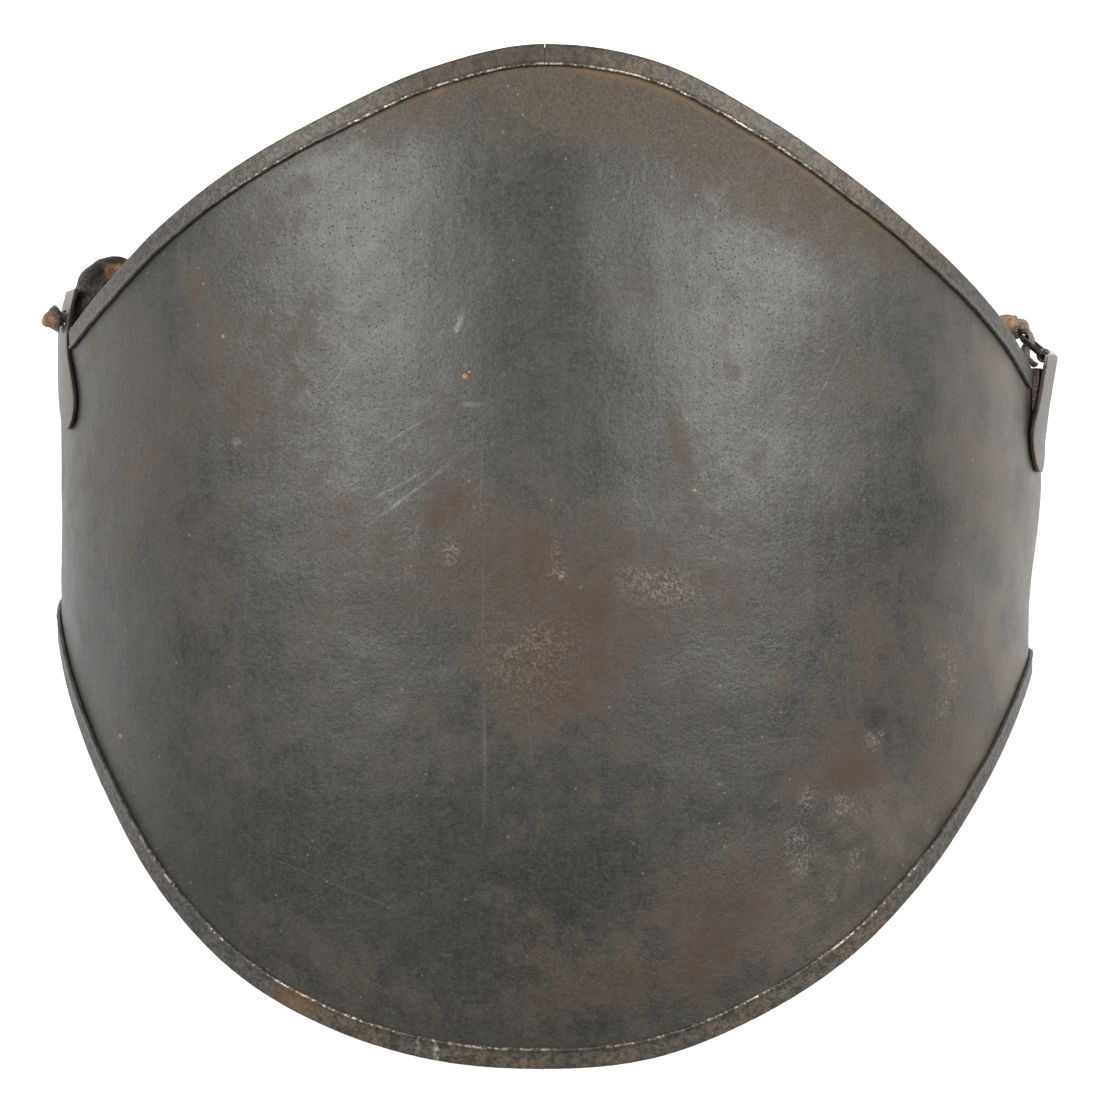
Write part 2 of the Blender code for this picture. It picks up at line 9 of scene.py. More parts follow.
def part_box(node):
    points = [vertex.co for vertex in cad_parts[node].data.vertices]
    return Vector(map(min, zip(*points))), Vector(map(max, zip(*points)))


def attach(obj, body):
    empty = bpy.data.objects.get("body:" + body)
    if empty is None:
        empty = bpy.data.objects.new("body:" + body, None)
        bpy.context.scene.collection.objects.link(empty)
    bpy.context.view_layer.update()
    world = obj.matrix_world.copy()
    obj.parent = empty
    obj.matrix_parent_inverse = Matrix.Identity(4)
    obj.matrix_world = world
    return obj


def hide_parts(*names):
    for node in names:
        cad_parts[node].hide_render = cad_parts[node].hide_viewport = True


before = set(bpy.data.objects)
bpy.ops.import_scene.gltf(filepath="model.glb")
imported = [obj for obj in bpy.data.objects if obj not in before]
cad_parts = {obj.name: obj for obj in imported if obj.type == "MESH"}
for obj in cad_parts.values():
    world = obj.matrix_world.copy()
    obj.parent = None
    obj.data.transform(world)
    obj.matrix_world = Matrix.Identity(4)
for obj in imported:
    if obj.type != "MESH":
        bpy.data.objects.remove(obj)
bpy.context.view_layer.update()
print("frame loaded:", sorted(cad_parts))

scene = bpy.context.scene
scene.view_settings.view_transform = "Standard"

view = {
    "place": (-0.0008, 0.0025, 1.5225),    # straight above the plate, its neck at the top of the picture
    "lens": 137.05,
    "sensor": 36.0,
}


def addObject(name, data):
    made = bpy.data.objects.new(name, data)
    scene.collection.objects.link(made)
    return made


def setCamera():
    camera = addObject("camera", bpy.data.cameras.new("camera"))
    camera.data.lens = view["lens"]
    camera.data.sensor_width = view["sensor"]
    camera.location = view["place"]
    scene.camera = camera


setCamera()


def arithmetic(operation):
    # what an operator does with a wire on its left, and on its right
    def forwards(self, term):
        return self.graph.maths(operation, self, term)

    def backwards(self, term):
        return self.graph.maths(operation, term, self)

    return forwards, backwards


class Wire:
    # an output of a node; arithmetic on it adds Math nodes to its tree
    def __init__(self, graph, socket):
        self.graph = graph
        self.socket = socket

    def other(self, name):
        return Wire(self.graph, self.socket.node.outputs[name])

    __add__, __radd__ = arithmetic("ADD")
    __sub__, __rsub__ = arithmetic("SUBTRACT")
    __mul__, __rmul__ = arithmetic("MULTIPLY")
    __truediv__, __rtruediv__ = arithmetic("DIVIDE")


class Graph:
    # adds nodes to a shader or geometry tree
    def __init__(self, tree):
        self.tree = tree

    def add(self, kind, settings=None, sockets=None, output=0):
        node = self.tree.nodes.new(kind)
        for name, value in (settings or {}).items():
            if name == "stops":
                self.setStops(node.color_ramp, value)
            else:
                setattr(node, name, value)
        for name, value in (sockets or {}).items():
            self.plug(node.inputs[name], value)
        return Wire(self, node.outputs[output]) if len(node.outputs) else node

    def setStops(self, ramp, stops):
        while len(ramp.elements) > 1:
            ramp.elements.remove(ramp.elements[-1])
        ramp.elements[0].position, ramp.elements[0].color = stops[0]
        for place, colour in stops[1:]:
            ramp.elements.new(place).color = colour

    def plug(self, socket, value):
        if isinstance(value, Wire):
            self.tree.links.new(value.socket, socket)
        elif socket.type == "RGBA" and len(value) == 3:
            socket.default_value = (*value, 1.0)
        else:
            socket.default_value = value

    def maths(self, operation, *terms):
        return self.add("ShaderNodeMath", {"operation": operation}, dict(enumerate(terms)))

    def vectors(self, operation, *terms, output=0):
        return self.add("ShaderNodeVectorMath", {"operation": operation}, dict(enumerate(terms)), output)

    def scaled(self, vector, by):
        return self.add("ShaderNodeVectorMath", {"operation": "SCALE"}, {0: vector, 3: by})

    def parts(self, vector):
        # x, with y and z as its other outputs
        return self.add("ShaderNodeSeparateXYZ", None, {0: vector})

    def point(self, x, y, z):
        return self.add("ShaderNodeCombineXYZ", None, {0: x, 1: y, 2: z})

    def named(self, name):
        # an attribute of the mesh, in a geometry tree
        return self.add("GeometryNodeInputNamedAttribute", {"data_type": "FLOAT"}, {"Name": name})

    def noise(self, place, seed, scale, detail, output=0):
        return self.add("ShaderNodeTexNoise", {"noise_dimensions": "4D"},
                        {"Vector": place, "W": seed, "Scale": scale, "Detail": detail}, output)

    def ramp(self, value, low, high, start=0.0, end=1.0):
        return self.add("ShaderNodeMapRange", {"interpolation_type": "SMOOTHSTEP"},
                        {0: value, 1: low, 2: high, 3: start, 4: end})

    def mix(self, share, first, second):
        # two colours
        return self.add("ShaderNodeMix", {"data_type": "RGBA"}, {0: share, 6: first, 7: second}, 2)

    def blend(self, share, first, second):
        # two numbers
        return self.add("ShaderNodeMix", {"data_type": "FLOAT"}, {0: share, 2: first, 3: second}, 0)


def grey(level, warm=0.0):
    return level * (1 + warm), level, level * (1 - warm)


# the shape of the body, as the plate's maker would give it
body = {
    "halfWidth": 0.1725,
    "rightSpread": 0.0045,
    "spreadHeight": 0.050,
    "chestDepth": 0.150,
    "sideReturn": 0.0225,
    "neckRise": 0.1643,
    "waistDrop": 0.1692,
    "neckFall": 0.009,
    "waistFall": 0.016,
    "sheet": 0.0020,
    "clearance": 0.0003,
    "bindingSheet": 0.0009,
}
# height of the bound outline round the plate: degrees, top left, top right, bottom left, bottom right
outline = (
    (0, 1.000, 1.000, 1.000, 1.000),
    (12, 0.957, 0.966, 0.985, 0.980),
    (24, 0.869, 0.861, 0.928, 0.904),
    (36, 0.772, 0.735, 0.830, 0.792),
    (48, 0.661, 0.609, 0.677, 0.640),
    (60, 0.547, 0.492, 0.482, 0.472),
    (72, 0.468, 0.381, 0.302, 0.328),
    (82, 0.455, 0.322, 0.190, 0.262),
    (99, 0.440, 0.280, 0.120, 0.245),
)
# shallow dents: degrees round, share of the height, reach, depth
dents = (
    (-24, 0.34, 0.30, 0.35),
    (15, 0.52, 0.24, 0.30),
    (31, 0.20, 0.28, 0.40),
    (-2, -0.22, 0.26, 0.35),
    (42, -0.40, 0.22, 0.45),
    (-58, -0.20, 0.26, 0.35),
)


def smooth(share):
    share = min(1.0, max(0.0, share))
    return share * share * (3 - 2 * share)


def curveThrough(xs, ys, at):
    # smooth through the points, level at the first one
    if at <= xs[0]:
        return ys[0]
    if at >= xs[-1]:
        return ys[-1]
    last = len(xs) - 1
    slopes = [0.0] + [(ys[i + 1] - ys[i - 1]) / (xs[i + 1] - xs[i - 1]) for i in range(1, last)]
    slopes.append((ys[last] - ys[last - 1]) / (xs[last] - xs[last - 1]))
    i = max(k for k in range(last) if xs[k] <= at)
    span = xs[i + 1] - xs[i]
    s = (at - xs[i]) / span
    start = ys[i] * (1 + 2 * s) * (1 - s) ** 2 + slopes[i] * span * s * (1 - s) ** 2
    return start + ys[i + 1] * s * s * (3 - 2 * s) + slopes[i + 1] * span * s * s * (s - 1)


def rimHeight(around, edge):
    column = {"top": 1, "bottom": 3}[edge] + (around >= 0)
    degrees = abs(math.degrees(around))
    share = curveThrough([row[0] for row in outline], [row[column] for row in outline], degrees)
    fold = body["clearance"] + body["bindingSheet"]
    return share * body["neckRise"] - fold if edge == "top" else fold - share * body["waistDrop"]


def dentDepth(around, height):
    depth = 0.0
    for degrees, share, reach, deep in dents:
        up = height - share * (body["neckRise"] if share > 0 else body["waistDrop"])
        along = (around - math.radians(degrees)) * body["halfWidth"]
        depth += deep * body["sheet"] * (1 - smooth(math.hypot(along, up) / (reach * body["halfWidth"])))
    return depth


sideAngle = math.acos(-body["sideReturn"] / body["chestDepth"])
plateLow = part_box("breastplate")[0]
middle = (plateLow.x + body["halfWidth"], plateLow.y - rimHeight(0.0, "bottom"))


def addSocket(tree, name, way, kind):
    return tree.interface.new_socket(name, in_out=way, socket_type="NodeSocket" + kind)


def bendGroup():
    # lays a flat point (angle round, height, distance out) on the body
    tree = bpy.data.node_groups.new("bend to the body", "GeometryNodeTree")
    addSocket(tree, "Flat", "INPUT", "Vector")
    names = ("halfWidth", "rightSpread", "spreadHeight", "chestDepth", "sideReturn", "neckRise",
             "waistDrop", "neckFall", "waistFall")
    for name in names:
        addSocket(tree, name, "INPUT", "Float").default_value = body[name]
    addSocket(tree, "Place", "OUTPUT", "Vector")
    addSocket(tree, "Normal", "OUTPUT", "Vector")
    graph = Graph(tree)
    given = graph.add("NodeGroupInput")
    size = {name: given.other(name) for name in names}
    around = graph.parts(given)
    height = around.other("Y")
    out = around.other("Z")
    right = graph.maths("GREATER_THAN", around, 0.0)
    share = graph.maths("MINIMUM", graph.maths("MAXIMUM", height / size["spreadHeight"] + 0.5, 0.0), 1.0)
    wide = size["halfWidth"] + right * size["rightSpread"] * (share * share * (3.0 - 2.0 * share))
    wideSlope = right * size["rightSpread"] * 6.0 * share * (1.0 - share) / size["spreadHeight"]
    sine = graph.maths("SINE", around)
    cosine = graph.maths("COSINE", around)
    front = graph.maths("GREATER_THAN", cosine, 0.0)
    upper = graph.maths("GREATER_THAN", height, 0.0)
    reach = graph.blend(upper, size["waistDrop"], size["neckRise"])
    fallMost = graph.blend(upper, size["waistFall"], size["neckFall"]) * front
    fall = fallMost * (height / reach) * (height / reach)
    fallSlope = 2.0 * fallMost * height / (reach * reach)
    depth = size["chestDepth"] - fall
    place = graph.point(wide * sine + middle[0], height + middle[1], size["sideReturn"] + depth * cosine)
    sideways = graph.point(wide * cosine, 0.0, 0.0 - depth * sine)
    upwards = graph.point(wideSlope * sine, 1.0, 0.0 - fallSlope * cosine)
    normal = graph.vectors("NORMALIZE", graph.vectors("CROSS_PRODUCT", sideways, upwards))
    end = tree.nodes.new("NodeGroupOutput")
    graph.plug(end.inputs["Place"], graph.vectors("ADD", place, graph.scaled(normal, out)))
    graph.plug(end.inputs["Normal"], normal)
    return tree


bendToBody = bendGroup()


def onBody(graph, flat):
    return graph.add("GeometryNodeGroup", {"node_tree": bendToBody}, {"Flat": flat})


def newTree(name, inputs):
    # a geometry tree with named inputs; returns it with its graph and a wire for each input
    tree = bpy.data.node_groups.new(name, "GeometryNodeTree")
    addSocket(tree, "Geometry", "INPUT", "Geometry")
    kinds = {float: "Float", int: "Int", bpy.types.Object: "Object", bpy.types.Material: "Material"}
    for label, value in inputs.items():
        addSocket(tree, label, "INPUT", kinds[type(value)])
    addSocket(tree, "Geometry", "OUTPUT", "Geometry")
    graph = Graph(tree)
    given = graph.add("NodeGroupInput")
    return tree, graph, {label: given.other(label) for label in ("Geometry", *inputs)}


def closeTree(graph, geometry, material):
    end = graph.tree.nodes.new("NodeGroupOutput")
    real = graph.add("GeometryNodeRealizeInstances", None, {0: geometry})
    graph.plug(end.inputs[0], graph.add("GeometryNodeSetMaterial", None, {0: real, "Material": material}))


def grow(name, mesh, tree, inputs):
    # runs a geometry tree on a mesh and keeps the result as a plain object
    start = addObject(name + "Start", mesh)
    modifier = start.modifiers.new("grow", "NODES")
    modifier.node_group = tree
    for item in tree.interface.items_tree:
        if item.in_out == "INPUT" and item.name in inputs:
            modifier[item.identifier] = inputs[item.name]
    depsgraph = bpy.context.evaluated_depsgraph_get()
    grown = bpy.data.meshes.new_from_object(start.evaluated_get(depsgraph))
    start.modifiers.clear()
    bpy.data.objects.remove(start)
    return addPiece(name, grown)


def addPiece(name, mesh, sharpDegrees=40):
    mesh.name = name
    mesh.shade_smooth()
    mesh.set_sharp_from_angle(angle=math.radians(sharpDegrees))
    return addObject(name, mesh)


def setAttribute(mesh, name, values):
    mesh.attributes.new(name, "FLOAT", "POINT").data.foreach_set("value", np.asarray(values, np.float32))


# finishes
iron = {
    "dark": (0.0315, 0.0320, 0.0292),
    "mid": (0.056, 0.0555, 0.0510),
    "glint": (0.098, 0.095, 0.086),
    "brown": (0.038, 0.027, 0.017),
    "rust": (0.086, 0.065, 0.042),
    "umber": (0.039, 0.025, 0.014),
    "orange": (0.135, 0.080, 0.036),
    "red": (0.055, 0.030, 0.019),
    "pale": (0.230, 0.205, 0.172),
    "dust": (0.190, 0.160, 0.125),
    "speck": (0.270, 0.215, 0.145),
    "fleck": (0.30, 0.14, 0.05),
    "black": (0.012, 0.011, 0.010),
    "brushed": grey(0.085, 0.04),
    "scratch": grey(0.20, 0.02),
    "innerDark": (0.030, 0.027, 0.024),
    "innerRust": (0.085, 0.050, 0.030),
    "metallic": 0.72,
    "roughness": 0.46,
    "pitsEachMetre": 640.0,
    "relief": 0.60,
    "reliefDepth": 0.00055,
}
# how much of each kind of wear shows on the plate
wear = {
    "brushed": 0.25,
    "glint": 0.66,
    "creep": 0.75,
    "scattered": 0.35,
    "pale": 0.65,
    "brownSpots": 0.40,
    "pits": 0.30,
    "scratches": 0.55,
    "specks": 0.5,
}

# stains on the plate's face, in millimetres: x, y, half across, half up, turn in degrees, strength
stains = {
    "brown": (
        # the second brown stain, at (-106, 60), is partly real brown speckling and partly painted shade that
        # dims the left highlight's outer flank
        (-146, 40, 20, 50, 0, 0.45), (-106, 60, 30, 45, 0, 0.45), (104, -30, 50, 60, 0, 0.42),
        (-45, 0, 42, 45, 0, 0.36), (30, -35, 110, 50, 0, 0.32),
        (-26.6, 156, 60, 14, 14, 0.75), (11.4, 152, 60, 16, -4, 0.85), (53.4, 143, 46, 22, -32, 0.95),
        (81.4, 126, 34, 20, -42, 0.75), (-2.6, -10, 46, 30, -18, 0.70), (-30.6, 10, 26, 22, 0, 0.55),
        (29.4, -16, 40, 26, -10, 0.50), (-4.6, -30, 26, 28, 0, 0.75), (101.4, -74, 26, 24, 10, 0.55),
        (117.4, -40, 34, 50, -15, 0.32), (61.4, -112, 38, 22, 30, 0.60), (31.4, -135, 60, 16, 12, 0.60),
        (-2.6, -128, 24, 20, 0, 0.45), (-116.6, 0, 26, 60, 5, 0.30), (-106.6, -60, 22, 34, 0, 0.25),
        (131.4, 30, 26, 60, 4, 0.22), (141.4, -60, 22, 40, -15, 0.55), (101.4, 60, 30, 34, -10, 0.25),
        (-93.6, 110, 26, 14, 42, 0.30), (-58.6, -140, 50, 12, -18, 0.40), (111.4, 104, 26, 10, -40, 0.55),
    ),
    "red": (
        (2, -22, 34, 26, -10, 0.68),
        (-38.6, 12, 9, 13, 0, 0.60), (-2.6, 4, 26, 10, -5, 0.55), (-14.6, -14, 12, 9, 0, 0.60),
        (21.4, 2, 16, 10, 0, 0.45), (40.4, 41, 3.2, 13, 14, 0.80), (41.4, -6, 16, 8, -10, 0.40),
        (105.4, -68, 12, 13, 0, 0.60), (115.4, -53, 8, 9, 0, 0.65), (81.4, -76, 9, 7, 0, 0.45),
        (65.4, -113, 14, 10, 20, 0.60), (49.4, -124, 12, 13, 0, 0.65), (34.4, -138, 26, 6, 12, 0.50),
        (101.4, -108, 9, 7, 30, 0.45), (63.4, 10, 26, 16, 0, 0.22), (13.4, 86, 26, 8, 6, 0.30),
        (57.4, 66, 10, 24, 0, 0.20), (86.4, -25, 18, 16, 0, 0.25),
    ),
    "pale": (
        (-6.6, -30, 17, 17, 0, 0.42), (35.4, -9, 12, 6, -6, 0.80), (25.4, -5, 5, 4, 0, 0.40),
        (-32.6, 2, 3, 5, 0, 0.60), (1.4, 2, 3, 6, 0, 0.40), (2.4, -5, 2.4, 2.4, 0, 0.7),
        (83.9, -96, 4.5, 8, 8, 0.75), (86.4, -79.5, 3, 4.5, 0, 0.75), (98.4, -82, 4.5, 4, 0, 0.75),
        (105.4, -83, 5, 4, 0, 0.40), (110.4, -60, 3, 4.5, -20, 0.70), (103.4, -100, 3, 4.5, -25, 0.60),
        (94.4, -112, 2.5, 3.5, -25, 0.55), (138.4, -38, 6, 10, 0, 0.42), (135.4, -52, 4, 6, 0, 0.35),
        (-26.6, 45, 1.6, 14, 4, 0.35), (11.4, 98, 12, 5, -20, 0.10), (73.4, 95, 14, 8, 0, 0.14),
        (16.4, -100, 6, 6, 0, 0.20),
    ),
}

# scratches in millimetres: x, y, half the length, half the width, turn in degrees, brightness
scratches = (
    (-22.6, 27, 12, 0.30, 88, 0.22), (-22.1, -12, 12, 0.30, 89, 0.20), (-21.6, -62, 14, 0.45, 91, 0.45),
    (-22, -82, 6, 0.35, 90, 0.30), (-42.6, 23, 15, 0.50, 36, 0.36), (-36.6, 28, 10, 0.35, 42, 0.35),
    (-48.6, 24, 12, 0.30, 28, 0.30), (-45.6, 42, 12, 0.30, 30, 0.22), (-29.6, 76.5, 3.0, 0.9, 72, 0.60),
    (-26.1, 49.5, 2.6, 0.7, 0, 0.50), (-34.6, -129.3, 1.7, 0.5, 0, 1.0), (-80.6, -103, 14, 0.3, -20, 0.35),
    (-62.6, -110, 13, 0.3, -22, 0.35), (-58.6, -116, 10, 0.25, 40, 0.25), (-86.6, -112, 8, 0.25, 15, 0.25),
    (43.4, -38, 9, 0.25, 20, 0.20), (91.4, 60, 12, 0.25, 62, 0.25), (-103.6, 38, 1.2, 0.9, 0, 0.60),
    (-126.6, -75, 10, 0.3, 70, 0.20), (53.4, 110, 4, 0.3, 85, 0.35), (25.4, 118, 5, 0.25, 80, 0.25),
    (-6.6, -60, 8, 0.25, 96, 0.22), (71.4, -60, 9, 0.25, 8, 0.25), (-68.6, 60, 14, 0.25, 50, 0.18),
)
# bright orange specks: x, y, radius
specks = (
    (-28, 58.7, 0.7), (-146.1, -60.5, 0.6), (-26.6, 60, 0.4), (-108.4, 73, 0.6), (-115.3, 90.8, 0.4),
    (3.4, -6, 0.5), (46.4, 22, 0.4),
)


def startMaterial(name):
    material = bpy.data.materials.new(name)
    material.use_nodes = True
    material.node_tree.nodes.clear()
    graph = Graph(material.node_tree)
    place = graph.add("ShaderNodeTexCoord", None, None, "Object")
    return material, graph, place


# blotches of each finish, from the widest to the finest: width in millimetres, detail, roughness, seed
blotches = {
    "plate": ((85, 5.0, 0.55, 1), (22, 5.0, 0.6, 2), (6.5, 4.0, 0.65, 3), (1.6, 3.0, 0.6, 4),
              (0.65, 2.0, 0.6, 5)),
    "brushed": ((2.2, 3.0, 0.6, 6),),
    "binding": ((18, 4.0, 0.6, 11), (4.2, 4.0, 0.65, 12), (1.2, 3.0, 0.6, 13)),
    "hanger": ((14, 4.0, 0.6, 21), (3.5, 4.0, 0.65, 22), (1.0, 3.0, 0.6, 23)),
    "ring": ((3.0, 4.0, 0.65, 31), (0.8, 3.0, 0.6, 32)),
    "leather": ((6.0, 4.0, 0.6, 41), (2.0, 4.0, 0.65, 42), (0.7, 3.0, 0.6, 43)),
    "floor": ((400, 3.0, 0.5, 0),),
}
brushedWay = (1.0, 0.05, 1.0)    # draws the brushed blotches out into lines up the plate


def blotchesOn(graph, place, kind):
    made = []
    for wide, detail, rough, seed in blotches[kind]:
        made.append(graph.noise(place, float(seed), 1000.0 / wide, detail))
        made[-1].socket.node.inputs["Roughness"].default_value = rough
    return made


def finishMaterial(graph, colour, metallic, roughness, height, strength, deep):
    bump = graph.add("ShaderNodeBump", None, {"Strength": strength, "Distance": deep, "Height": height})
    shader = graph.add("ShaderNodeBsdfPrincipled", None, {
        "Base Color": colour, "Metallic": metallic, "Roughness": roughness, "Normal": bump})
    graph.add("ShaderNodeOutputMaterial", None, {"Surface": shader})


def blot(graph, place, stain, edge, wander):
    # a soft-edged oval patch on the face, seen from the front
    x, y, across, up, turn, strength = stain
    moved = graph.add("ShaderNodeMapping", {"vector_type": "TEXTURE"}, {
        "Vector": place, "Location": (x / 1000, y / 1000, 0.0), "Rotation": (0.0, 0.0, math.radians(turn)),
        "Scale": (across / 1000, up / 1000, 1e3)})
    away = graph.vectors("LENGTH", moved, output="Value") + wander
    return graph.ramp(away, 1.0 + edge, 1.0 - edge, 0.0, strength)


def gather(graph, masks):
    # the strongest of several masks; each joins as soon as it is made, which keeps the shader's memory small
    total = None
    for mask in masks:
        total = mask if total is None else graph.maths("MAXIMUM", total, mask)
    return total


def blots(graph, place, marks, edge, wander):
    return gather(graph, (blot(graph, place, mark, edge, wander) for mark in marks))


def attributeOn(graph, name):
    return graph.add("ShaderNodeAttribute", {"attribute_name": name}, None, "Fac")


def plateMaterial():
    material, graph, place = startMaterial("patinatedPlate")
    broad, cloudy, mottled, grain, fine = blotchesOn(graph, place, "plate")
    brushed = blotchesOn(graph, graph.vectors("MULTIPLY", place, brushedWay), "brushed")[0]
    inner = attributeOn(graph, "inner")
    fromRim = attributeOn(graph, "fromRim")
    outer = 1.0 - inner

    spot = graph.parts(place)
    brownDepth = attributeOn(graph, "brown")
    wander = (cloudy - 0.5) * 1.5 + (mottled - 0.5) * 1.0
    brown = graph.ramp(brownDepth + wander, 0.05, 1.1)
    red = graph.ramp(attributeOn(graph, "red") + wander, 0.15, 1.2)
    crumbs = graph.ramp(grain * 0.35 + fine * 0.65, 0.46, 0.62)
    spotted = graph.ramp(mottled * 0.75 + cloudy * 0.25, 0.40, 0.53)
    pale = graph.ramp(attributeOn(graph, "pale"), 0.0, 1.0) * spotted * crumbs
    broken = (grain - 0.5) * 3.4 + (mottled - 0.5) * 2.6
    lines = blots(graph, place, scratches, 0.7, broken)
    dots = blots(graph, place, [(x, y, r, r, 0, 1.0) for x, y, r in specks], 0.4, (grain - 0.5) * 2.0)

    # rust that creeps out from under the binding, orange only beside the neck
    creep = fromRim + (cloudy - 0.5) * 0.010 + (mottled - 0.5) * 0.006
    neck = graph.ramp(spot.other("Y"), 0.095, 0.125) * graph.ramp(spot, -0.075, -0.045)
    edgeRust = graph.ramp(creep, 0.0125, 0.0055) * (0.35 + 0.65 * neck)
    edgeOrange = graph.ramp(fromRim + (mottled - 0.5) * 0.003, 0.0088, 0.0070) * neck
    scattered = graph.ramp(mottled * 0.6 + grain * 0.4 + (broad - 0.5) * 0.25, 0.58, 0.72)
    pits = graph.add("ShaderNodeTexVoronoi", None,
                     {"Vector": place, "Scale": iron["pitsEachMetre"]}, "Distance")
    chosen = graph.maths("GREATER_THAN", graph.parts(pits.other("Color")), 0.991)
    speckled = chosen * graph.ramp(pits, 0.34, 0.16)
    pitted = graph.ramp(pits + (mottled - 0.5) * 0.6, 0.28, 0.08) * graph.ramp(cloudy, 0.40, 0.60)

    shade = graph.ramp(broad * 0.5 + cloudy * 0.3 + mottled * 0.2, 0.38, 0.62)
    clean = graph.mix(shade, iron["dark"], iron["mid"])
    clean = graph.mix(graph.ramp(brushed, 0.35, 0.75, 0.0, wear["brushed"]), clean, iron["brushed"])
    glints = graph.ramp(grain * 0.4 + fine * 0.6, 0.36, 0.70, 0.0, wear["glint"])
    clean = graph.mix(glints, clean, iron["glint"])
    rusty = outer * gather(graph, [brown, edgeRust * wear["creep"], scattered * wear["scattered"]])
    rusty = graph.maths("MINIMUM", rusty * (0.55 + 0.9 * mottled), 1.0)
    rust = graph.mix(graph.ramp(grain * 0.25 + fine * 0.75, 0.38, 0.62), iron["brown"], iron["rust"])
    fresh = graph.ramp(mottled * 0.6 + cloudy * 0.4, 0.50, 0.68) * (0.12 + 0.22 * neck)
    rust = graph.mix(fresh, rust, iron["orange"])
    rust = graph.mix(graph.maths("MINIMUM", 0.45 - 0.20 * neck + 0.45 * red, 1.0), rust, iron["umber"])
    colour = graph.mix(rusty, clean, rust)
    reddish = outer * red * graph.ramp(mottled * 0.6 + grain * 0.4, 0.28, 0.56)
    grainy = graph.ramp(grain * 0.4 + fine * 0.6, 0.32, 0.64, 0.35, 1.0)
    colour = graph.mix(reddish * grainy, colour, iron["red"])
    colour = graph.mix(outer * edgeOrange * graph.ramp(cloudy, 0.38, 0.62, 0.03, 0.5), colour, iron["orange"])
    hazy = graph.ramp(spot, 0.115, 0.165) * graph.ramp(cloudy, 0.34, 0.60, 0.20, 0.50)
    hazy = gather(graph, [hazy, blot(graph, place, (104, -104, 42, 18, 45, 0.26), 0.6, (cloudy - 0.5) * 1.5)])
    colour = graph.mix(outer * hazy, colour, iron["dust"])
    colour = graph.mix(outer * pale * wear["pale"], colour, iron["pale"])
    brownSpots = graph.ramp(mottled * 0.7 + grain * 0.3, 0.38, 0.29, 0.0, wear["brownSpots"])
    colour = graph.mix(brownSpots, colour, iron["brown"])
    colour = graph.mix(pitted * wear["pits"], colour, iron["black"])
    colour = graph.mix(outer * lines * wear["scratches"], colour, iron["scratch"])
    colour = graph.mix(outer * speckled * wear["specks"], colour, iron["speck"])
    colour = graph.mix(outer * dots, colour, iron["fleck"])
    innerRust = graph.ramp(cloudy * 0.6 + mottled * 0.4, 0.38, 0.62)
    colour = graph.mix(inner, colour, graph.mix(innerRust, iron["innerDark"], iron["innerRust"]))

    cover = graph.maths("MINIMUM", rusty + 0.6 * red + 0.5 * pale + 0.7 * inner, 1.0)
    metallic = graph.maths("MAXIMUM", iron["metallic"] * (1.0 - cover), 0.08)
    roughness = iron["roughness"] + 0.20 * cover + (mottled - 0.5) * 0.16 + (grain - 0.5) * 0.10
    roughness = graph.maths("MAXIMUM", roughness - 0.10 * lines, 0.2)
    # the relief leaves out the blots, which would be worked out three times over
    deeper = graph.ramp(brownDepth + inner, 0.0, 1.2, 0.50, 1.30)
    relief = (grain * 0.60 + fine * 0.30 + mottled * 0.8) * deeper - graph.ramp(pits, 0.20, 0.05) * 0.25
    finishMaterial(graph, colour, metallic, roughness, relief, iron["relief"], iron["reliefDepth"])
    return material


# patches here and below are in millimetres: x, y, half across, half up, turn in degrees, strength
bindingFinish = {
    "dark": (0.050, 0.048, 0.042),
    "clean": (0.102, 0.096, 0.084),
    "darkRust": (0.042, 0.030, 0.018),
    "rust": (0.118, 0.091, 0.063),
    "pocks": (0.020, 0.015, 0.012),
    "dim": (0.034, 0.024, 0.016),
    "worn": (0.42, 0.40, 0.36),
    "joint": (0.36, 0.34, 0.28),
    "orangePatch": (-84, -146, 10, 6, 30, 0.7),
    "dimPatch": (-20, 162, 48, 14, 0, 0.6),
    "jointMarks": ((-43.9, -159.5, 0.8, 3.6, 0, 0.7), (-37.6, -160.5, 1.0, 3.6, 0, 0.95)),
}


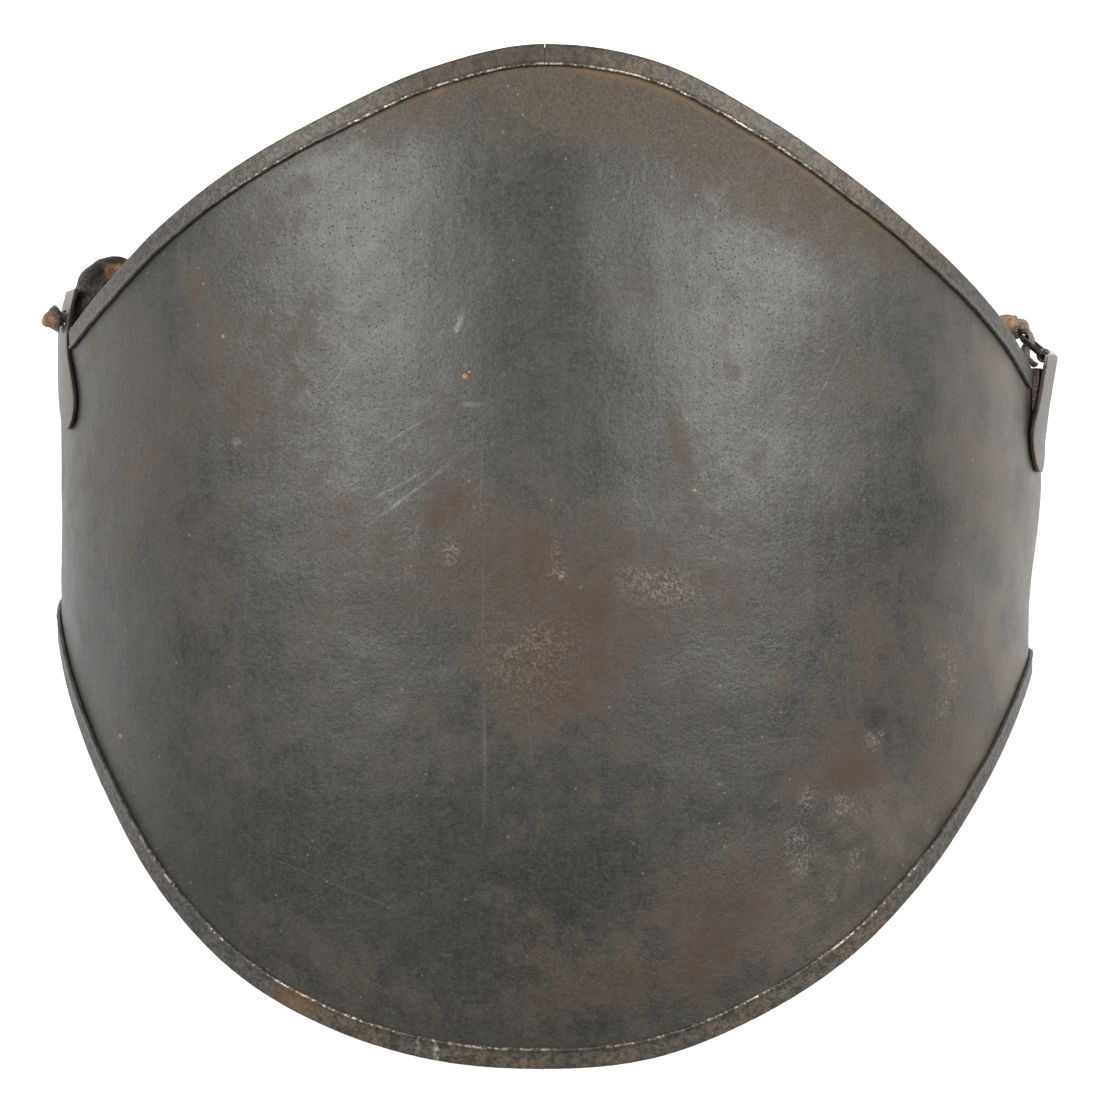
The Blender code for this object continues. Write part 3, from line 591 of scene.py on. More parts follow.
def bindingMaterial():
    material, graph, place = startMaterial("wornBinding")
    tones = bindingFinish
    cloudy, mottled, grain = blotchesOn(graph, place, "binding")
    lip = attributeOn(graph, "lip")
    spot = graph.parts(place)
    atSide = graph.maths("MAXIMUM", graph.ramp(spot, -0.070, -0.110), graph.ramp(spot, 0.105, 0.150))
    nearNeck = graph.ramp(spot.other("Y"), 0.112, 0.140)
    nearWaist = graph.ramp(spot.other("Y"), -0.075, -0.120)
    rust = graph.ramp(cloudy * 0.6 + mottled * 0.4, 0.36, 0.60) * (1.0 - 0.85 * atSide)
    orange = graph.ramp(cloudy * 0.5 + mottled * 0.3 + grain * 0.2, 0.55, 0.72) * (1.0 - atSide)
    patch = blot(graph, place, tones["orangePatch"], 0.6, (mottled - 0.5) * 2.0)
    speckle = graph.ramp(grain * 0.6 + mottled * 0.4, 0.40, 0.60)
    colour = graph.mix(rust, graph.mix(speckle, tones["dark"], tones["clean"]),
                       graph.mix(speckle, tones["darkRust"], tones["rust"]))
    colour = graph.mix(graph.ramp(mottled, 0.58, 0.72, 0.0, 0.8), colour, tones["pocks"])
    colour = graph.mix(gather(graph, [orange * 0.35, patch]), colour, iron["orange"])
    dim = blot(graph, place, tones["dimPatch"], 0.6, (cloudy - 0.5) * 2.0)
    colour = graph.mix(dim, colour, tones["dim"])
    broken = graph.ramp(grain * 0.7 + mottled * 0.3 + (cloudy - 0.5) * 0.5, 0.49, 0.60)
    # on the binding this mask is real wear: the raised lip rubbed bright near the neck and the waist
    worn = graph.ramp(lip, 0.86, 0.99) * broken * graph.maths("MAXIMUM", nearNeck, nearWaist * 0.9)
    colour = graph.mix(worn, colour, tones["worn"])
    seams = blots(graph, place, tones["jointMarks"], 0.4, (mottled - 0.5) * 1.5)
    colour = graph.mix(seams * speckle, colour, tones["joint"])
    metallic = graph.blend(worn, graph.blend(rust, 0.60, 0.20), 0.85)
    roughness = graph.blend(worn, 0.52 + (mottled - 0.5) * 0.25, 0.36)
    finishMaterial(graph, colour, metallic, roughness, mottled * 1.2 + grain * 0.8, 0.7, 0.0005)
    return material


hangerFinish = {
    "dark": (0.060, 0.052, 0.043),
    "bright": (0.104, 0.088, 0.072),
    "spots": (0.052, 0.034, 0.024),
    # painted shade for the bevelled edges
    "edge": (0.030, 0.028, 0.026),
    # painted highlight for the right hanger's rolled top
    "paintedTopHighlight": (0.36, 0.33, 0.30),
    "orangePatch": (164, 34, 6, 5, 0, 0.8),
}


def hangerMaterial():
    material, graph, place = startMaterial("smoothHanger")
    tones = hangerFinish
    cloudy, mottled, grain = blotchesOn(graph, place, "hanger")
    worn = attributeOn(graph, "worn")
    spot = graph.parts(place)
    colour = graph.mix(graph.ramp(cloudy * 0.6 + mottled * 0.4, 0.38, 0.62), tones["dark"], tones["bright"])
    spots = graph.ramp(mottled * 0.6 + grain * 0.4, 0.60, 0.72)
    colour = graph.mix(spots * 0.6, colour, tones["spots"])
    stain = blot(graph, place, tones["orangePatch"], 0.6, (mottled - 0.5) * 2.0)
    colour = graph.mix(stain, colour, iron["orange"])
    # painted shade darkens the bevelled edges, and a painted highlight brightens the right one's rolled top
    rolled = graph.ramp(spot.other("Y"), 0.066, 0.069) * graph.ramp(spot, 0.0, 0.1)
    colour = graph.mix(worn * (1.0 - rolled) * 0.30, colour, tones["edge"])
    # a painted highlight along the right hanger's rolled top
    bright = worn * rolled * graph.ramp(grain * 0.5 + cloudy * 0.5, 0.36, 0.56)
    colour = graph.mix(bright * 0.8, colour, tones["paintedTopHighlight"])
    metallic = graph.blend(graph.maths("MAXIMUM", spots, stain), 0.72, 0.2)
    roughness = graph.blend(bright, 0.42 + (cloudy - 0.5) * 0.25 + spots * 0.2, 0.30)
    finishMaterial(graph, colour, metallic, roughness, mottled * 0.8 + grain * 0.5, 0.4, 0.0004)
    return material


ringFinish = {
    "dark": (0.022, 0.021, 0.020),
    "rust": (0.085, 0.045, 0.026),
}


def ringMaterial():
    material, graph, place = startMaterial("darkRing")
    mottled, grain = blotchesOn(graph, place, "ring")
    rust = graph.ramp(mottled * 0.6 + grain * 0.4, 0.50, 0.66)
    colour = graph.mix(rust, ringFinish["dark"], ringFinish["rust"])
    finishMaterial(graph, colour, graph.blend(rust, 0.7, 0.1), graph.blend(rust, 0.42, 0.8),
                   mottled + grain * 0.6, 0.6, 0.0004)
    return material


leatherFinish = {
    "darkSkin": (0.060, 0.038, 0.028),
    "skin": (0.150, 0.110, 0.088),
    "scuffed": (0.26, 0.20, 0.165),
    "crack": (0.018, 0.011, 0.008),
    "darkRaw": (0.20, 0.095, 0.040),
    "raw": (0.52, 0.33, 0.16),
    "rawSpots": (0.07, 0.035, 0.02),
    # painted shade for the folds and hollows
    "fold": (0.016, 0.010, 0.007),
    "cracksEachMetre": 620.0,
    "crackWander": 0.0012,
    "rawPatches": (
        (-153.5, 100.8, 6.0, 2.6, 24, 1.0), (-176.5, 82, 3.5, 3.0, 0, 0.75), (160.5, 82.5, 2.2, 3.0, 0, 0.9),
    ),
    # painted shadows in the left strap's folds and hollows
    "paintedFoldShadows": (
        (-159.7, 99.0, 3.2, 6.0, -40, 1.0), (-153.0, 104.2, 9.0, 1.8, 4, 0.85),
        (-163.5, 92.0, 1.6, 5.0, -30, 0.8),
    ),
}


def leatherMaterial():
    material, graph, place = startMaterial("oldLeather")
    cloudy, mottled, grain = blotchesOn(graph, place, "leather")
    tones = leatherFinish
    wander = graph.scaled(mottled.other("Color"), tones["crackWander"])
    creases = graph.add("ShaderNodeTexVoronoi", {"feature": "DISTANCE_TO_EDGE"}, {
        "Vector": graph.vectors("ADD", place, wander), "Scale": tones["cracksEachMetre"]}, "Distance")
    flesh = attributeOn(graph, "flesh")
    crack = graph.ramp(creases, 0.10, 0.0)
    skin = graph.mix(graph.ramp(cloudy, 0.36, 0.64), tones["darkSkin"], tones["skin"])
    skin = graph.mix(graph.ramp(grain * 0.5 + mottled * 0.5, 0.50, 0.68, 0.0, 0.7), skin, tones["scuffed"])
    skin = graph.mix(crack * 0.75, skin, tones["crack"])
    raw = graph.mix(graph.ramp(cloudy * 0.5 + mottled * 0.5, 0.36, 0.62), tones["darkRaw"], tones["raw"])
    raw = graph.mix(graph.ramp(grain, 0.55, 0.72, 0.0, 0.8), raw, tones["rawSpots"])
    torn = gather(graph, [graph.ramp(flesh + (mottled - 0.5) * 0.9, 0.50, 0.75),
                          blots(graph, place, tones["rawPatches"], 0.5, (mottled - 0.5) * 2.0)])
    colour = graph.mix(torn, skin, raw)
    # painted shade in the folds and hollows
    paintedFoldShade = blots(graph, place, tones["paintedFoldShadows"], 0.5, (mottled - 0.5) * 1.6)
    colour = graph.mix(paintedFoldShade, colour, tones["fold"])
    relief = mottled * 0.8 + grain * 0.5 - crack * 0.8 * (1.0 - torn)
    roughness = graph.blend(torn, 0.58 + (mottled - 0.5) * 0.3, 0.92)
    finishMaterial(graph, colour, 0.0, roughness, relief, 0.8, 0.0006)
    return material


finish = {
    "plate": plateMaterial(),
    "binding": bindingMaterial(),
    "hanger": hangerMaterial(),
    "ring": ringMaterial(),
    "leather": leatherMaterial(),
}
print("finishes made")


# the plate: a flat sheet cut to its outline, then bent and hammered
plate = {
    "columns": 230,
    "rows": 150,
    "hammerDepth": 0.00045,     # only inwards, so that nothing on the plate is cut
    "hammerSize": 0.030,
    "rippleDepth": 0.00012,
    "rippleSize": 0.009,
    "calmEdge": 0.012,          # no hammer marks this close to the outline
}


def flatSheet():
    columns, rows = plate["columns"], plate["rows"]
    places = []
    fromRim = []
    dent = []
    for c in range(columns + 1):
        around = -sideAngle + 2 * sideAngle * c / columns
        low = rimHeight(around, "bottom")
        high = rimHeight(around, "top")
        perRadian = math.hypot(body["halfWidth"] * math.cos(around), body["chestDepth"] * math.sin(around))
        leans = [math.cos(math.atan((rimHeight(around + 0.004, edge) - rimHeight(around - 0.004, edge))
                                    / (0.008 * perRadian))) for edge in ("bottom", "top")]
        for r in range(rows + 1):
            height = low + (high - low) * r / rows
            places.append((around, height))
            fromRim.append(min((height - low) * leans[0], (high - height) * leans[1]))
            dent.append(dentDepth(around, height))
    count = len(places)
    verts = [(x, y, 0.0) for x, y in places] + [(x, y, 1.0) for x, y in places]
    faces = []
    step = rows + 1
    for c in range(columns):
        for r in range(rows):
            a, b = c * step + r, (c + 1) * step + r
            faces.append((a, b, b + 1, a + 1))
            faces.append((count + a + 1, count + b + 1, count + b, count + a))
    border = [(c * step, (c + 1) * step) for c in range(columns)]
    border += [(columns * step + r, columns * step + r + 1) for r in range(rows)]
    border += [((c + 1) * step + rows, c * step + rows) for c in reversed(range(columns))]
    border += [(r + 1, r) for r in reversed(range(rows))]
    faces += [(b, a, count + a, count + b) for a, b in border]
    mesh = bpy.data.meshes.new("flatSheet")
    mesh.from_pydata(verts, [], faces)
    setAttribute(mesh, "fromRim", fromRim * 2)
    setAttribute(mesh, "dent", dent * 2)
    setAttribute(mesh, "inner", [0.0] * count + [1.0] * count)
    for kind in ("brown", "red", "pale"):
        setAttribute(mesh, kind, stainField(np.array(places), stains[kind]) * 2)
    return mesh


def stainField(places, kinds):
    # how deep each flat point lies in the nearest soft stain, below 0 outside all of them
    wide = body["halfWidth"] + body["rightSpread"] * (places[:, 0] > 0)
    x = wide * np.sin(places[:, 0]) + middle[0]
    y = places[:, 1] + middle[1]
    field = np.full(len(places), -1.0)
    for cx, cy, across, up, turn, strength in kinds:
        c, s = math.cos(math.radians(turn)), math.sin(math.radians(turn))
        u = ((x - cx / 1000) * c + (y - cy / 1000) * s) / (across / 1000)
        v = ((y - cy / 1000) * c - (x - cx / 1000) * s) / (up / 1000)
        field = np.maximum(field, strength * (1.6 - np.hypot(u, v)))
    return list(field)


def plateTree(inputs):
    tree, graph, given = newTree("bend and hammer the plate", inputs)
    flat = graph.add("GeometryNodeInputPosition")
    around = graph.parts(flat)
    height = around.other("Y")
    inner = around.other("Z")
    bent = onBody(graph, graph.point(around, height, 0.0))
    marks = [graph.noise(bent, seed, 1.0 / given[size], 1.0)
             for size, seed in (("Hammer Size", 3.7), ("Ripple Size", 8.1))]
    beaten = (graph.ramp(marks[0], 0.30, 0.70) * given["Hammer Depth"]
              + graph.ramp(marks[1], 0.30, 0.70) * given["Ripple Depth"])
    calm = graph.ramp(graph.named("fromRim") / given["Calm Edge"], 0.25, 1.0)
    out = 0.0 - graph.named("dent") - beaten * calm - inner * given["Sheet"]
    parts = graph.parts(onBody(graph, graph.point(around, height, out)))
    onFloor = graph.maths("GREATER_THAN", graph.maths("ABSOLUTE", around), given["Side Angle"] - 0.0001)
    level = graph.maths("MAXIMUM", parts.other("Z") * (1.0 - onFloor), 0.0)
    place = graph.point(parts, parts.other("Y"), level)
    moved = graph.add("GeometryNodeSetPosition", None, {"Geometry": given["Geometry"], "Position": place})
    closeTree(graph, moved, given["Finish"])
    return tree


def makePlate():
    inputs = {
        "Sheet": body["sheet"], "Side Angle": sideAngle, "Calm Edge": plate["calmEdge"],
        "Hammer Depth": plate["hammerDepth"], "Hammer Size": plate["hammerSize"],
        "Ripple Depth": plate["rippleDepth"], "Ripple Size": plate["rippleSize"], "Finish": finish["plate"]}
    piece = grow("plateSkin", flatSheet(), plateTree(inputs), inputs)
    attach(piece, "root")
    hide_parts("breastplate")


makePlate()
print("plate bent")


# the folded binding, swept along the outline in four strips
binding = {
    "width": 0.0060,
    "lip": 0.0004,
    "joint": 0.0002,
    "lowerJoint": -14.3,        # degrees
    "upperEnds": (-72.25, 71.97),    # degrees, beside the hangers
    "floorSetback": 0.0015,
    "step": 0.0011,
    "wave": 0.00035,            # how far the raised inner edge wanders
    "dimple": 0.00012,
    "wavesEachMetre": 140.0,
    "dimplesEachMetre": 320.0,
    "firstSeed": 4.0,
}


def bindingProfile():
    # the folded strip's section; x is out of the plate's face and -y is off its edge
    face = body["clearance"] + body["bindingSheet"]
    back = -body["sheet"] - face
    wide, lip, sheet = binding["width"], binding["lip"], body["bindingSheet"]
    # x, y and how much of the lip is in it
    points = [(-wide, body["clearance"], 0.6), (-wide - 0.0001, face * 0.75, 1.0),
              (-wide + 0.0001, face + lip * 0.6, 1.0), (-wide + 0.0004, face + lip * 0.9, 1.0),
              (-wide + 0.0008, face + lip * 0.75, 0.9),
              (-wide + 0.0012, face + lip * 0.2, 0.4), (-wide + 0.0018, face - 0.0001, 0.0),
              (-wide / 2, face, 0.0), (face - sheet * 1.3, face, 0.0)]
    for corner, start in (((face - sheet, face - sheet), 90), ((face - sheet, back + sheet), 0)):
        for k in range(4):
            turn = math.radians(start - 30 * k)
            points.append((corner[0] + sheet * math.cos(turn), corner[1] + sheet * math.sin(turn), 0.0))
    points += [(-wide / 2, back, 0.0), (-wide, back, 0.5), (-wide, back + sheet, 0.0),
               (body["clearance"], back + sheet, 0.0), (body["clearance"], body["clearance"], 0.0)]
    mesh = bpy.data.meshes.new("bindingProfile")
    loop = [(i, (i + 1) % len(points)) for i in range(len(points))]
    mesh.from_pydata([(up, -out, 0.0) for out, up, _ in points], loop, [])
    setAttribute(mesh, "lip", [share for _, _, share in points])
    return addObject("bindingProfile", mesh)


def bindingTree(inputs):
    tree, graph, given = newTree("sweep the binding", inputs)
    bent = onBody(graph, graph.add("GeometryNodeInputPosition"))
    kept = graph.add("GeometryNodeCaptureAttribute")
    node = kept.socket.node
    node.capture_items.new("VECTOR", "Normal")
    graph.plug(node.inputs[0], given["Geometry"])
    graph.plug(node.inputs["Normal"], bent.other("Normal"))
    moved = graph.add("GeometryNodeSetPosition", None,
                      {"Geometry": Wire(graph, node.outputs[0]), "Position": bent})
    path = graph.add("GeometryNodeSetCurveNormal", {"mode": "FREE"},
                     {"Curve": graph.add("GeometryNodeMeshToCurve", None, {0: moved}),
                      "Normal": Wire(graph, node.outputs["Normal"])})
    shape = graph.add("GeometryNodeObjectInfo", None, {"Object": given["Profile"]}, "Geometry")
    section = graph.add("GeometryNodeMeshToCurve", None, {0: shape})
    swept = graph.add("GeometryNodeCurveToMesh", None,
                      {"Curve": path, "Profile Curve": section, "Fill Caps": True})
    here = graph.add("GeometryNodeInputPosition")
    normal = graph.add("GeometryNodeInputNormal")
    wander = graph.noise(here, given["Seed"], binding["wavesEachMetre"], 2.0, "Color")
    wander = graph.vectors("MULTIPLY_ADD", wander, (2.0, 2.0, 2.0), (-1.0, -1.0, -1.0))
    dimples = graph.noise(here, given["Seed"] + 9.0, binding["dimplesEachMetre"], 2.0) - 0.5
    along = graph.scaled(wander, graph.named("lip") * given["Wave"])
    across = graph.scaled(normal, dimples * 2.0 * given["Dimple"])
    rough = graph.add("GeometryNodeSetPosition", None,
                      {"Geometry": swept, "Offset": graph.vectors("ADD", along, across)})
    closeTree(graph, rough, given["Finish"])
    return tree


def rimPath(edge, start, end):
    # points along the outline, still flat; the lower edge runs the other way, to fold its strip downwards
    count = int((end - start) * body["halfWidth"] * 1.25 / binding["step"])
    angles = [start + (end - start) * i / count for i in range(count + 1)]
    if edge == "bottom":
        angles.reverse()
    points = [(a, rimHeight(a, edge), -dentDepth(a, rimHeight(a, edge))) for a in angles]
    mesh = bpy.data.meshes.new("rimPath")
    mesh.from_pydata(points, [(i, i + 1) for i in range(count)], [])
    return mesh


def makeBindings():
    profile = bindingProfile()
    inputs = {"Profile": profile, "Wave": binding["wave"], "Dimple": binding["dimple"],
              "Seed": binding["firstSeed"], "Finish": finish["binding"]}
    tree = bindingTree(inputs)
    half = binding["joint"] / 2 / body["halfWidth"]
    lower = math.radians(binding["lowerJoint"])
    corner = sideAngle - binding["floorSetback"] / body["chestDepth"]
    ends = [math.radians(degrees) for degrees in binding["upperEnds"]]
    strips = (
        ("bindingUpperLeft", "binding_upper_left", "top", ends[0], -half),
        ("bindingUpperRight", "binding_upper_right", "top", half, ends[1]),
        ("bindingLowerLeft", "binding_lower_left", "bottom", -corner, lower - half),
        ("bindingLowerRight", "binding_lower_right", "bottom", lower + half, corner),
    )
    for number, (name, node, edge, start, end) in enumerate(strips):
        inputs["Seed"] = binding["firstSeed"] + number
        piece = grow(name, rimPath(edge, start, end), tree, inputs)
        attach(piece, "root")
        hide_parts(node)
    bpy.data.objects.remove(profile)


makeBindings()
print("bindings swept")


# the iron hangers, ring and rivets
fittings = {
    "sharpDegrees": 40,
    "hangerBevel": 0.00028,
    "hangerMesh": 0.0025,
    "ringDimple": 0.00010,
    "ringDimplesEachMetre": 900,
}


def mergedCopy(node):
    shape = bmesh.new()
    shape.from_mesh(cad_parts[node].data)
    bmesh.ops.remove_doubles(shape, verts=shape.verts, dist=1e-6)
    bmesh.ops.join_triangles(shape, faces=shape.faces, angle_face_threshold=math.radians(3),
                             angle_shape_threshold=math.radians(60))
    return shape


def shapePiece(name, shape, material, sharpDegrees):
    mesh = bpy.data.meshes.new(name)
    shape.to_mesh(mesh)
    shape.free()
    mesh.materials.clear()
    mesh.materials.append(material)
    return addPiece(name, mesh, sharpDegrees)


def makeHanger(name, node):
    shape = mergedCopy(node)
    leastAngle = math.radians(fittings["sharpDegrees"])
    sharp = [e for e in shape.edges if len(e.link_faces) == 2 and e.calc_face_angle() > leastAngle]
    # marks the bevelled edges, which the hanger's finish darkens with painted shade and, on the right
    # hanger's rolled top, brightens with a painted highlight
    worn = shape.verts.layers.float.new("worn")
    made = bmesh.ops.bevel(shape, geom=sharp, offset=fittings["hangerBevel"], offset_type="OFFSET",
                           segments=2, profile=0.5, affect="EDGES", clamp_overlap=True)
    for vert in made["verts"]:
        vert[worn] = 1.0
    long = [e for e in shape.edges if e.calc_length() > fittings["hangerMesh"]]
    bmesh.ops.subdivide_edges(shape, edges=long, cuts=1, use_grid_fill=True)
    bmesh.ops.recalc_face_normals(shape, faces=shape.faces)
    piece = shapePiece(name, shape, finish["hanger"], 50)
    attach(piece, "root")
    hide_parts(node)


def makeRing():
    shape = mergedCopy("ring_right")
    bmesh.ops.subdivide_edges(shape, edges=shape.edges, cuts=2, smooth=1.0, use_grid_fill=True)
    for vert in shape.verts:
        bump = noise.noise(vert.co * fittings["ringDimplesEachMetre"])
        vert.co += vert.normal * (bump * fittings["ringDimple"])
    piece = shapePiece("ringWire", shape, finish["ring"], 80)
    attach(piece, "root")
    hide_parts("ring_right")


makeHanger("hangerLeft", "hanger_left")
makeHanger("hangerRight", "hanger_right")
makeRing()
for rivet in ("rivet_left", "rivet_right"):
    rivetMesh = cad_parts[rivet].data
    rivetMesh.materials.clear()
    rivetMesh.materials.append(finish["ring"])
print("fittings refined")


# the leather: the rows along a torn strap are x, y, z, width, thickness (in millimetres) and twist in degrees
straps = {
    "steps": 7,
    "sides": 30,
    "crumple": 0.00055,
    "lumpsEachMetre": 260,
    "creasesEachMetre": 700,
    "fray": 0.0016,
    "frayedRings": 4,
    "rawRings": 9,
    "padCrumple": 0.0003,
    "padLumpsEachMetre": 400,
    "left": (
        (-148.50, 98.18, 50.77, 12.8, 2.1, -62), (-151.39, 98.78, 51.57, 14.2, 3.1, -60),
        (-154.67, 98.98, 52.48, 15.0, 4.2, -57), (-157.84, 98.08, 53.40, 15.0, 5.6, -44),
        (-161.04, 95.98, 54.15, 15.0, 7.8, -28), (-162.77, 92.58, 54.48, 14.1, 8.4, -10),
        (-164.20, 88.98, 54.86, 12.3, 8.0, -3), (-165.44, 84.78, 55.37, 11.0, 7.0, 0),
        (-167.58, 83.08, 56.07, 8.7, 5.8, 0), (-170.08, 83.78, 56.77, 8.4, 3.4, 0),
        (-171.62, 83.48, 57.20, 8.4, 4.2, 0), (-173.07, 83.38, 57.60, 9.3, 9.0, 0),
        (-174.32, 83.08, 57.95, 8.7, 8.0, 0), (-176.06, 82.48, 58.43, 6.6, 5.2, 0),
        (-177.79, 81.68, 58.91, 2.2, 1.5, 0),
    ),
    "leftLevel": (0.2679, 0.0, 0.9634),
    "right": (
        (156.16, 80.93, 54.45, 11.2, 1.8, -30), (158.08, 81.53, 55.02, 13.2, 3.9, -25),
        (160.19, 80.63, 55.65, 13.8, 7.4, -18), (162.30, 80.13, 56.27, 13.5, 8.0, -10),
        (164.42, 80.43, 56.84, 12.6, 5.6, -3), (165.75, 79.33, 57.29, 12.0, 2.9, 0),
        (167.19, 78.13, 57.72, 11.7, 1.6, 0), (168.01, 76.13, 57.96, 11.7, 1.2, 0),
        (167.38, 74.33, 57.78, 11.7, 1.6, 0), (166.14, 72.93, 57.41, 12.0, 2.2, 0),
        (165.75, 71.13, 57.29, 12.6, 2.2, 0), (166.33, 69.53, 57.46, 12.6, 2.1, 0),
        (167.67, 68.13, 57.86, 12.3, 1.9, 0), (169.01, 67.13, 58.26, 11.7, 1.7, 0),
    ),
    "rightLevel": (-0.2842, 0.0, 0.9588),
}


def resample(rows, steps):
    # Catmull-Rom through the rows
    table = np.array(rows, float)
    table[:, 5] = np.radians(table[:, 5]) * 1000
    padded = np.vstack([2 * table[0] - table[1], table, 2 * table[-1] - table[-2]])
    found = []
    for i in range(1, len(padded) - 2):
        a, b, c, d = padded[i - 1:i + 3]
        for k in range(steps):
            t = k / steps
            found.append(0.5 * (2 * b + (c - a) * t + (2 * a - 5 * b + 4 * c - d) * t * t
                                + (3 * b - a - 3 * c + d) * t ** 3))
    found.append(table[-1])
    return np.array(found) / 1000.0


def makeStrap(name, rows, level, seed):
    # a flattened tube through the rows, torn at its first one
    stations = resample(rows, straps["steps"])
    level = Vector(level)
    sides = straps["sides"]
    shape = bmesh.new()
    flesh = shape.verts.layers.float.new("flesh")
    rings = []
    last = len(stations) - 1
    for i, (x, y, z, wide, thick, twist) in enumerate(stations):
        centre = Vector((x, y, z))
        along = (Vector(stations[min(i + 1, last)][:3]) - Vector(stations[max(i - 1, 0)][:3])).normalized()
        side = along.cross(level).normalized()
        wideWay = level * math.cos(twist) - side * math.sin(twist)
        thin = side * math.cos(twist) + level * math.sin(twist)
        ring = []
        for k in range(sides):
            turn = 2 * math.pi * k / sides
            c, s = math.cos(turn), math.sin(turn)
            w = math.copysign(abs(c) ** 0.55, c) * wide / 2
            t = math.copysign(abs(s) ** 0.75, s) * thick / 2
            point = centre + wideWay * w + thin * t
            bump = noise.noise(point * straps["lumpsEachMetre"] + Vector((seed, 0, 0)))
            bump += 0.5 * noise.noise(point * straps["creasesEachMetre"])
            w *= 1 + 0.05 * noise.noise(Vector((i * 0.16, seed, c * 2)))
            point = centre + wideWay * w + thin * t * (1 - 0.12 * abs(c) ** 3)
            point += thin * (bump * straps["crumple"])
            if i < straps["frayedRings"]:
                jag = noise.noise(Vector((w * 900, seed * 3.1, t * 500))) - 0.2
                point -= along * (jag * straps["fray"] * (1 - i / straps["frayedRings"]))
            vert = shape.verts.new(point)
            vert[flesh] = max(0.0, 1 - i / straps["rawRings"]) * 0.9 + (0.35 if s < 0 else 0.0)
            ring.append(vert)
        rings.append(ring)
    for near, far in zip(rings, rings[1:]):
        for k in range(sides):
            shape.faces.new((near[k], near[(k + 1) % sides], far[(k + 1) % sides], far[k]))
    for ring in (rings[0], rings[-1]):
        hub = shape.verts.new(sum((v.co for v in ring), Vector()) / sides)
        hub[flesh] = 1.2
        for k in range(sides):
            shape.faces.new((ring[k], ring[(k + 1) % sides], hub))
    bmesh.ops.recalc_face_normals(shape, faces=shape.faces)
    return shapePiece(name, shape, finish["leather"], 80)


fibres = {
    "density": 5.0e5,      # for each square metre of torn leather
    "length": 0.0011,
    "thick": 0.055,        # share of the length
    "tornFrom": 0.85,      # share of rawness from which fibres grow
    "bend": ((0.0, 0.0, -0.2), (0.05, 0.0, 0.5), (0.45, 0.15, 1.0)),    # a fibre of length 1
    "taper": 0.7,
    "tilt": 0.7,
    "spin": 3.1,
    "shortest": 0.4,
    "tallest": 1.3,
    "seed": 6,
}


def fibreTree(inputs):
    # short bent fibres that stand out of the torn ends
    tree, graph, given = newTree("fibres on the torn ends", inputs)
    torn = graph.maths("GREATER_THAN", graph.named("flesh"), given["Torn From"])
    points = graph.add("GeometryNodeDistributePointsOnFaces", None, {
        "Mesh": given["Geometry"], "Selection": torn, "Density": given["Density"],
        "Seed": given["Seed"]}, "Points")
    start, middleOfBend, end = fibres["bend"]
    line = graph.add("GeometryNodeCurveQuadraticBezier", None, {
        "Resolution": 5, "Start": start, "Middle": middleOfBend, "End": end})
    along = graph.add("GeometryNodeSplineParameter")
    thin = graph.add("GeometryNodeSetCurveRadius", None,
                     {"Curve": line, "Radius": 1.0 - along * fibres["taper"]})
    circle = graph.add("GeometryNodeCurvePrimitiveCircle", None, {"Resolution": 5, "Radius": fibres["thick"]})
    hair = graph.add("GeometryNodeCurveToMesh", None,
                     {"Curve": thin, "Profile Curve": circle, "Fill Caps": True})
    tilt, spin = fibres["tilt"], fibres["spin"]
    lean = graph.add("FunctionNodeRandomValue", {"data_type": "FLOAT_VECTOR"},
                     {0: (-tilt, -tilt, -spin), 1: (tilt, tilt, spin), "Seed": given["Seed"]}, 0)
    turned = graph.add("FunctionNodeRotateRotation", {"rotation_space": "LOCAL"},
                       {"Rotation": points.other("Rotation"), "Rotate By": lean})
    tall = graph.add("FunctionNodeRandomValue", {"data_type": "FLOAT"},
                     {2: fibres["shortest"], 3: fibres["tallest"], "Seed": given["Seed"]}, 1)
    stood = graph.add("GeometryNodeInstanceOnPoints", None, {
        "Points": points, "Instance": hair, "Rotation": turned, "Scale": tall * given["Length"]})
    solid = graph.add("GeometryNodeRealizeInstances", None, {0: stood})
    raw = graph.add("GeometryNodeStoreNamedAttribute", {"data_type": "FLOAT", "domain": "POINT"},
                    {"Geometry": solid, "Name": "flesh", "Value": 1.1})
    closeTree(graph, raw, given["Finish"])
    return tree


def makeStraps():
    inputs = {"Density": fibres["density"], "Length": fibres["length"], "Torn From": fibres["tornFrom"],
              "Seed": fibres["seed"], "Finish": finish["leather"]}
    tree = fibreTree(inputs)
    for name, node, side, seed in (("strapLeft", "strap_left", "left", 1.7),
                                   ("strapRight", "strap_right", "right", 5.3)):
        piece = makeStrap(name, straps[side], straps[side + "Level"], seed)
        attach(piece, "root")
        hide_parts(node)
        hairs = grow(name + "Fibres", piece.data.copy(), tree, inputs)
        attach(hairs, "root")


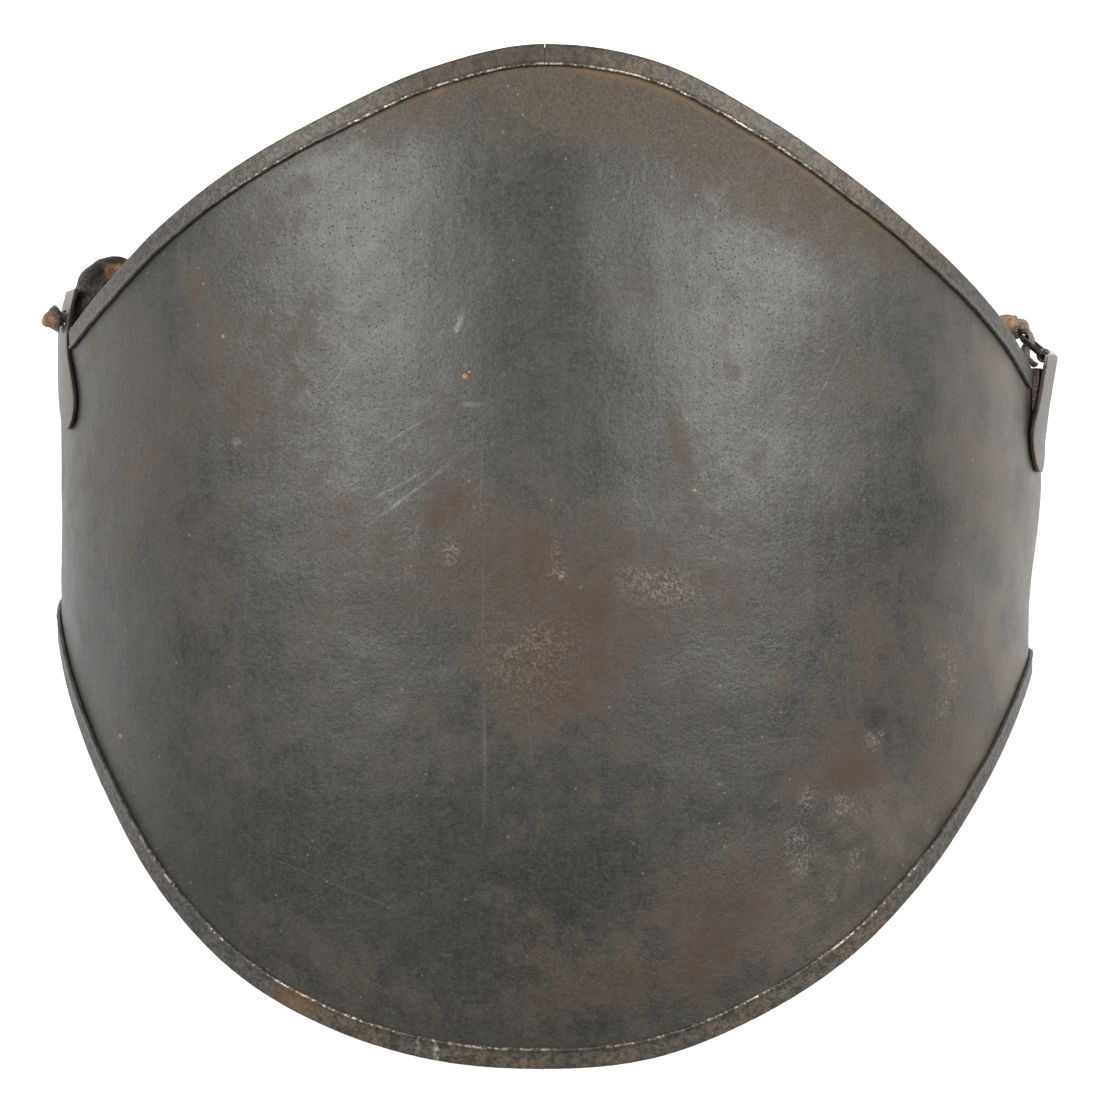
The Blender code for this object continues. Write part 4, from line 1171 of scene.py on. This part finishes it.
def makePad():
    shape = mergedCopy("leather_pad_right")
    bmesh.ops.subdivide_edges(shape, edges=shape.edges, cuts=3, use_grid_fill=True)
    for vert in shape.verts:
        lump = noise.noise(vert.co * straps["padLumpsEachMetre"])
        vert.co += Vector((0.0, lump, 0.0)) * straps["padCrumple"]
    piece = shapePiece("padRight", shape, finish["leather"], 60)
    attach(piece, "root")
    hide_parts("leather_pad_right")


makeStraps()
makePad()
print("leather made")


# pale floor and soft studio light
studio = {
    "floorSize": 8.0,
    "floorColour": 0.86,
    "floorGlow": 0.50,
    "roomLight": 0.30,
    "aim": (0.0, 0.0, 0.1),    # where the soft boxes point
    "softBoxes": (          # place, size across, size along, watts
        ((-1.05, 0.45, 1.25), 0.55, 1.2, 24.6),
        ((1.05, 0.45, 1.25), 0.55, 1.2, 27),
    ),
}


def setStudio():
    bpy.ops.mesh.primitive_plane_add(size=studio["floorSize"], location=(0, 0, 0))
    floor = bpy.context.object
    floor.name = "paleFloor"
    material, graph, place = startMaterial("paleFloor")
    tone = graph.ramp(blotchesOn(graph, place, "floor")[0], 0.3, 0.7)
    shader = graph.add("ShaderNodeBsdfPrincipled", None, {
        "Base Color": graph.mix(tone, grey(studio["floorColour"]), grey(studio["floorColour"] * 0.985)),
        "Emission Color": grey(1.0), "Emission Strength": studio["floorGlow"], "Roughness": 0.9})
    graph.add("ShaderNodeOutputMaterial", None, {"Surface": shader})
    floor.data.materials.append(material)
    world = bpy.data.worlds.new("room")
    world.use_nodes = True
    background = world.node_tree.nodes["Background"]
    background.inputs["Color"].default_value = (*grey(1.0), 1.0)
    background.inputs["Strength"].default_value = studio["roomLight"]
    scene.world = world
    for number, (place, across, along, watts) in enumerate(studio["softBoxes"]):
        lamp = bpy.data.lights.new(f"softBox{number}", "AREA")
        lamp.shape = "RECTANGLE"
        lamp.size = across
        lamp.size_y = along
        lamp.energy = watts
        light = addObject(f"softBox{number}", lamp)
        light.location = place
        light.rotation_euler = (Vector(place) - Vector(studio["aim"])).to_track_quat("Z", "Y").to_euler()


setStudio()
print("studio set")
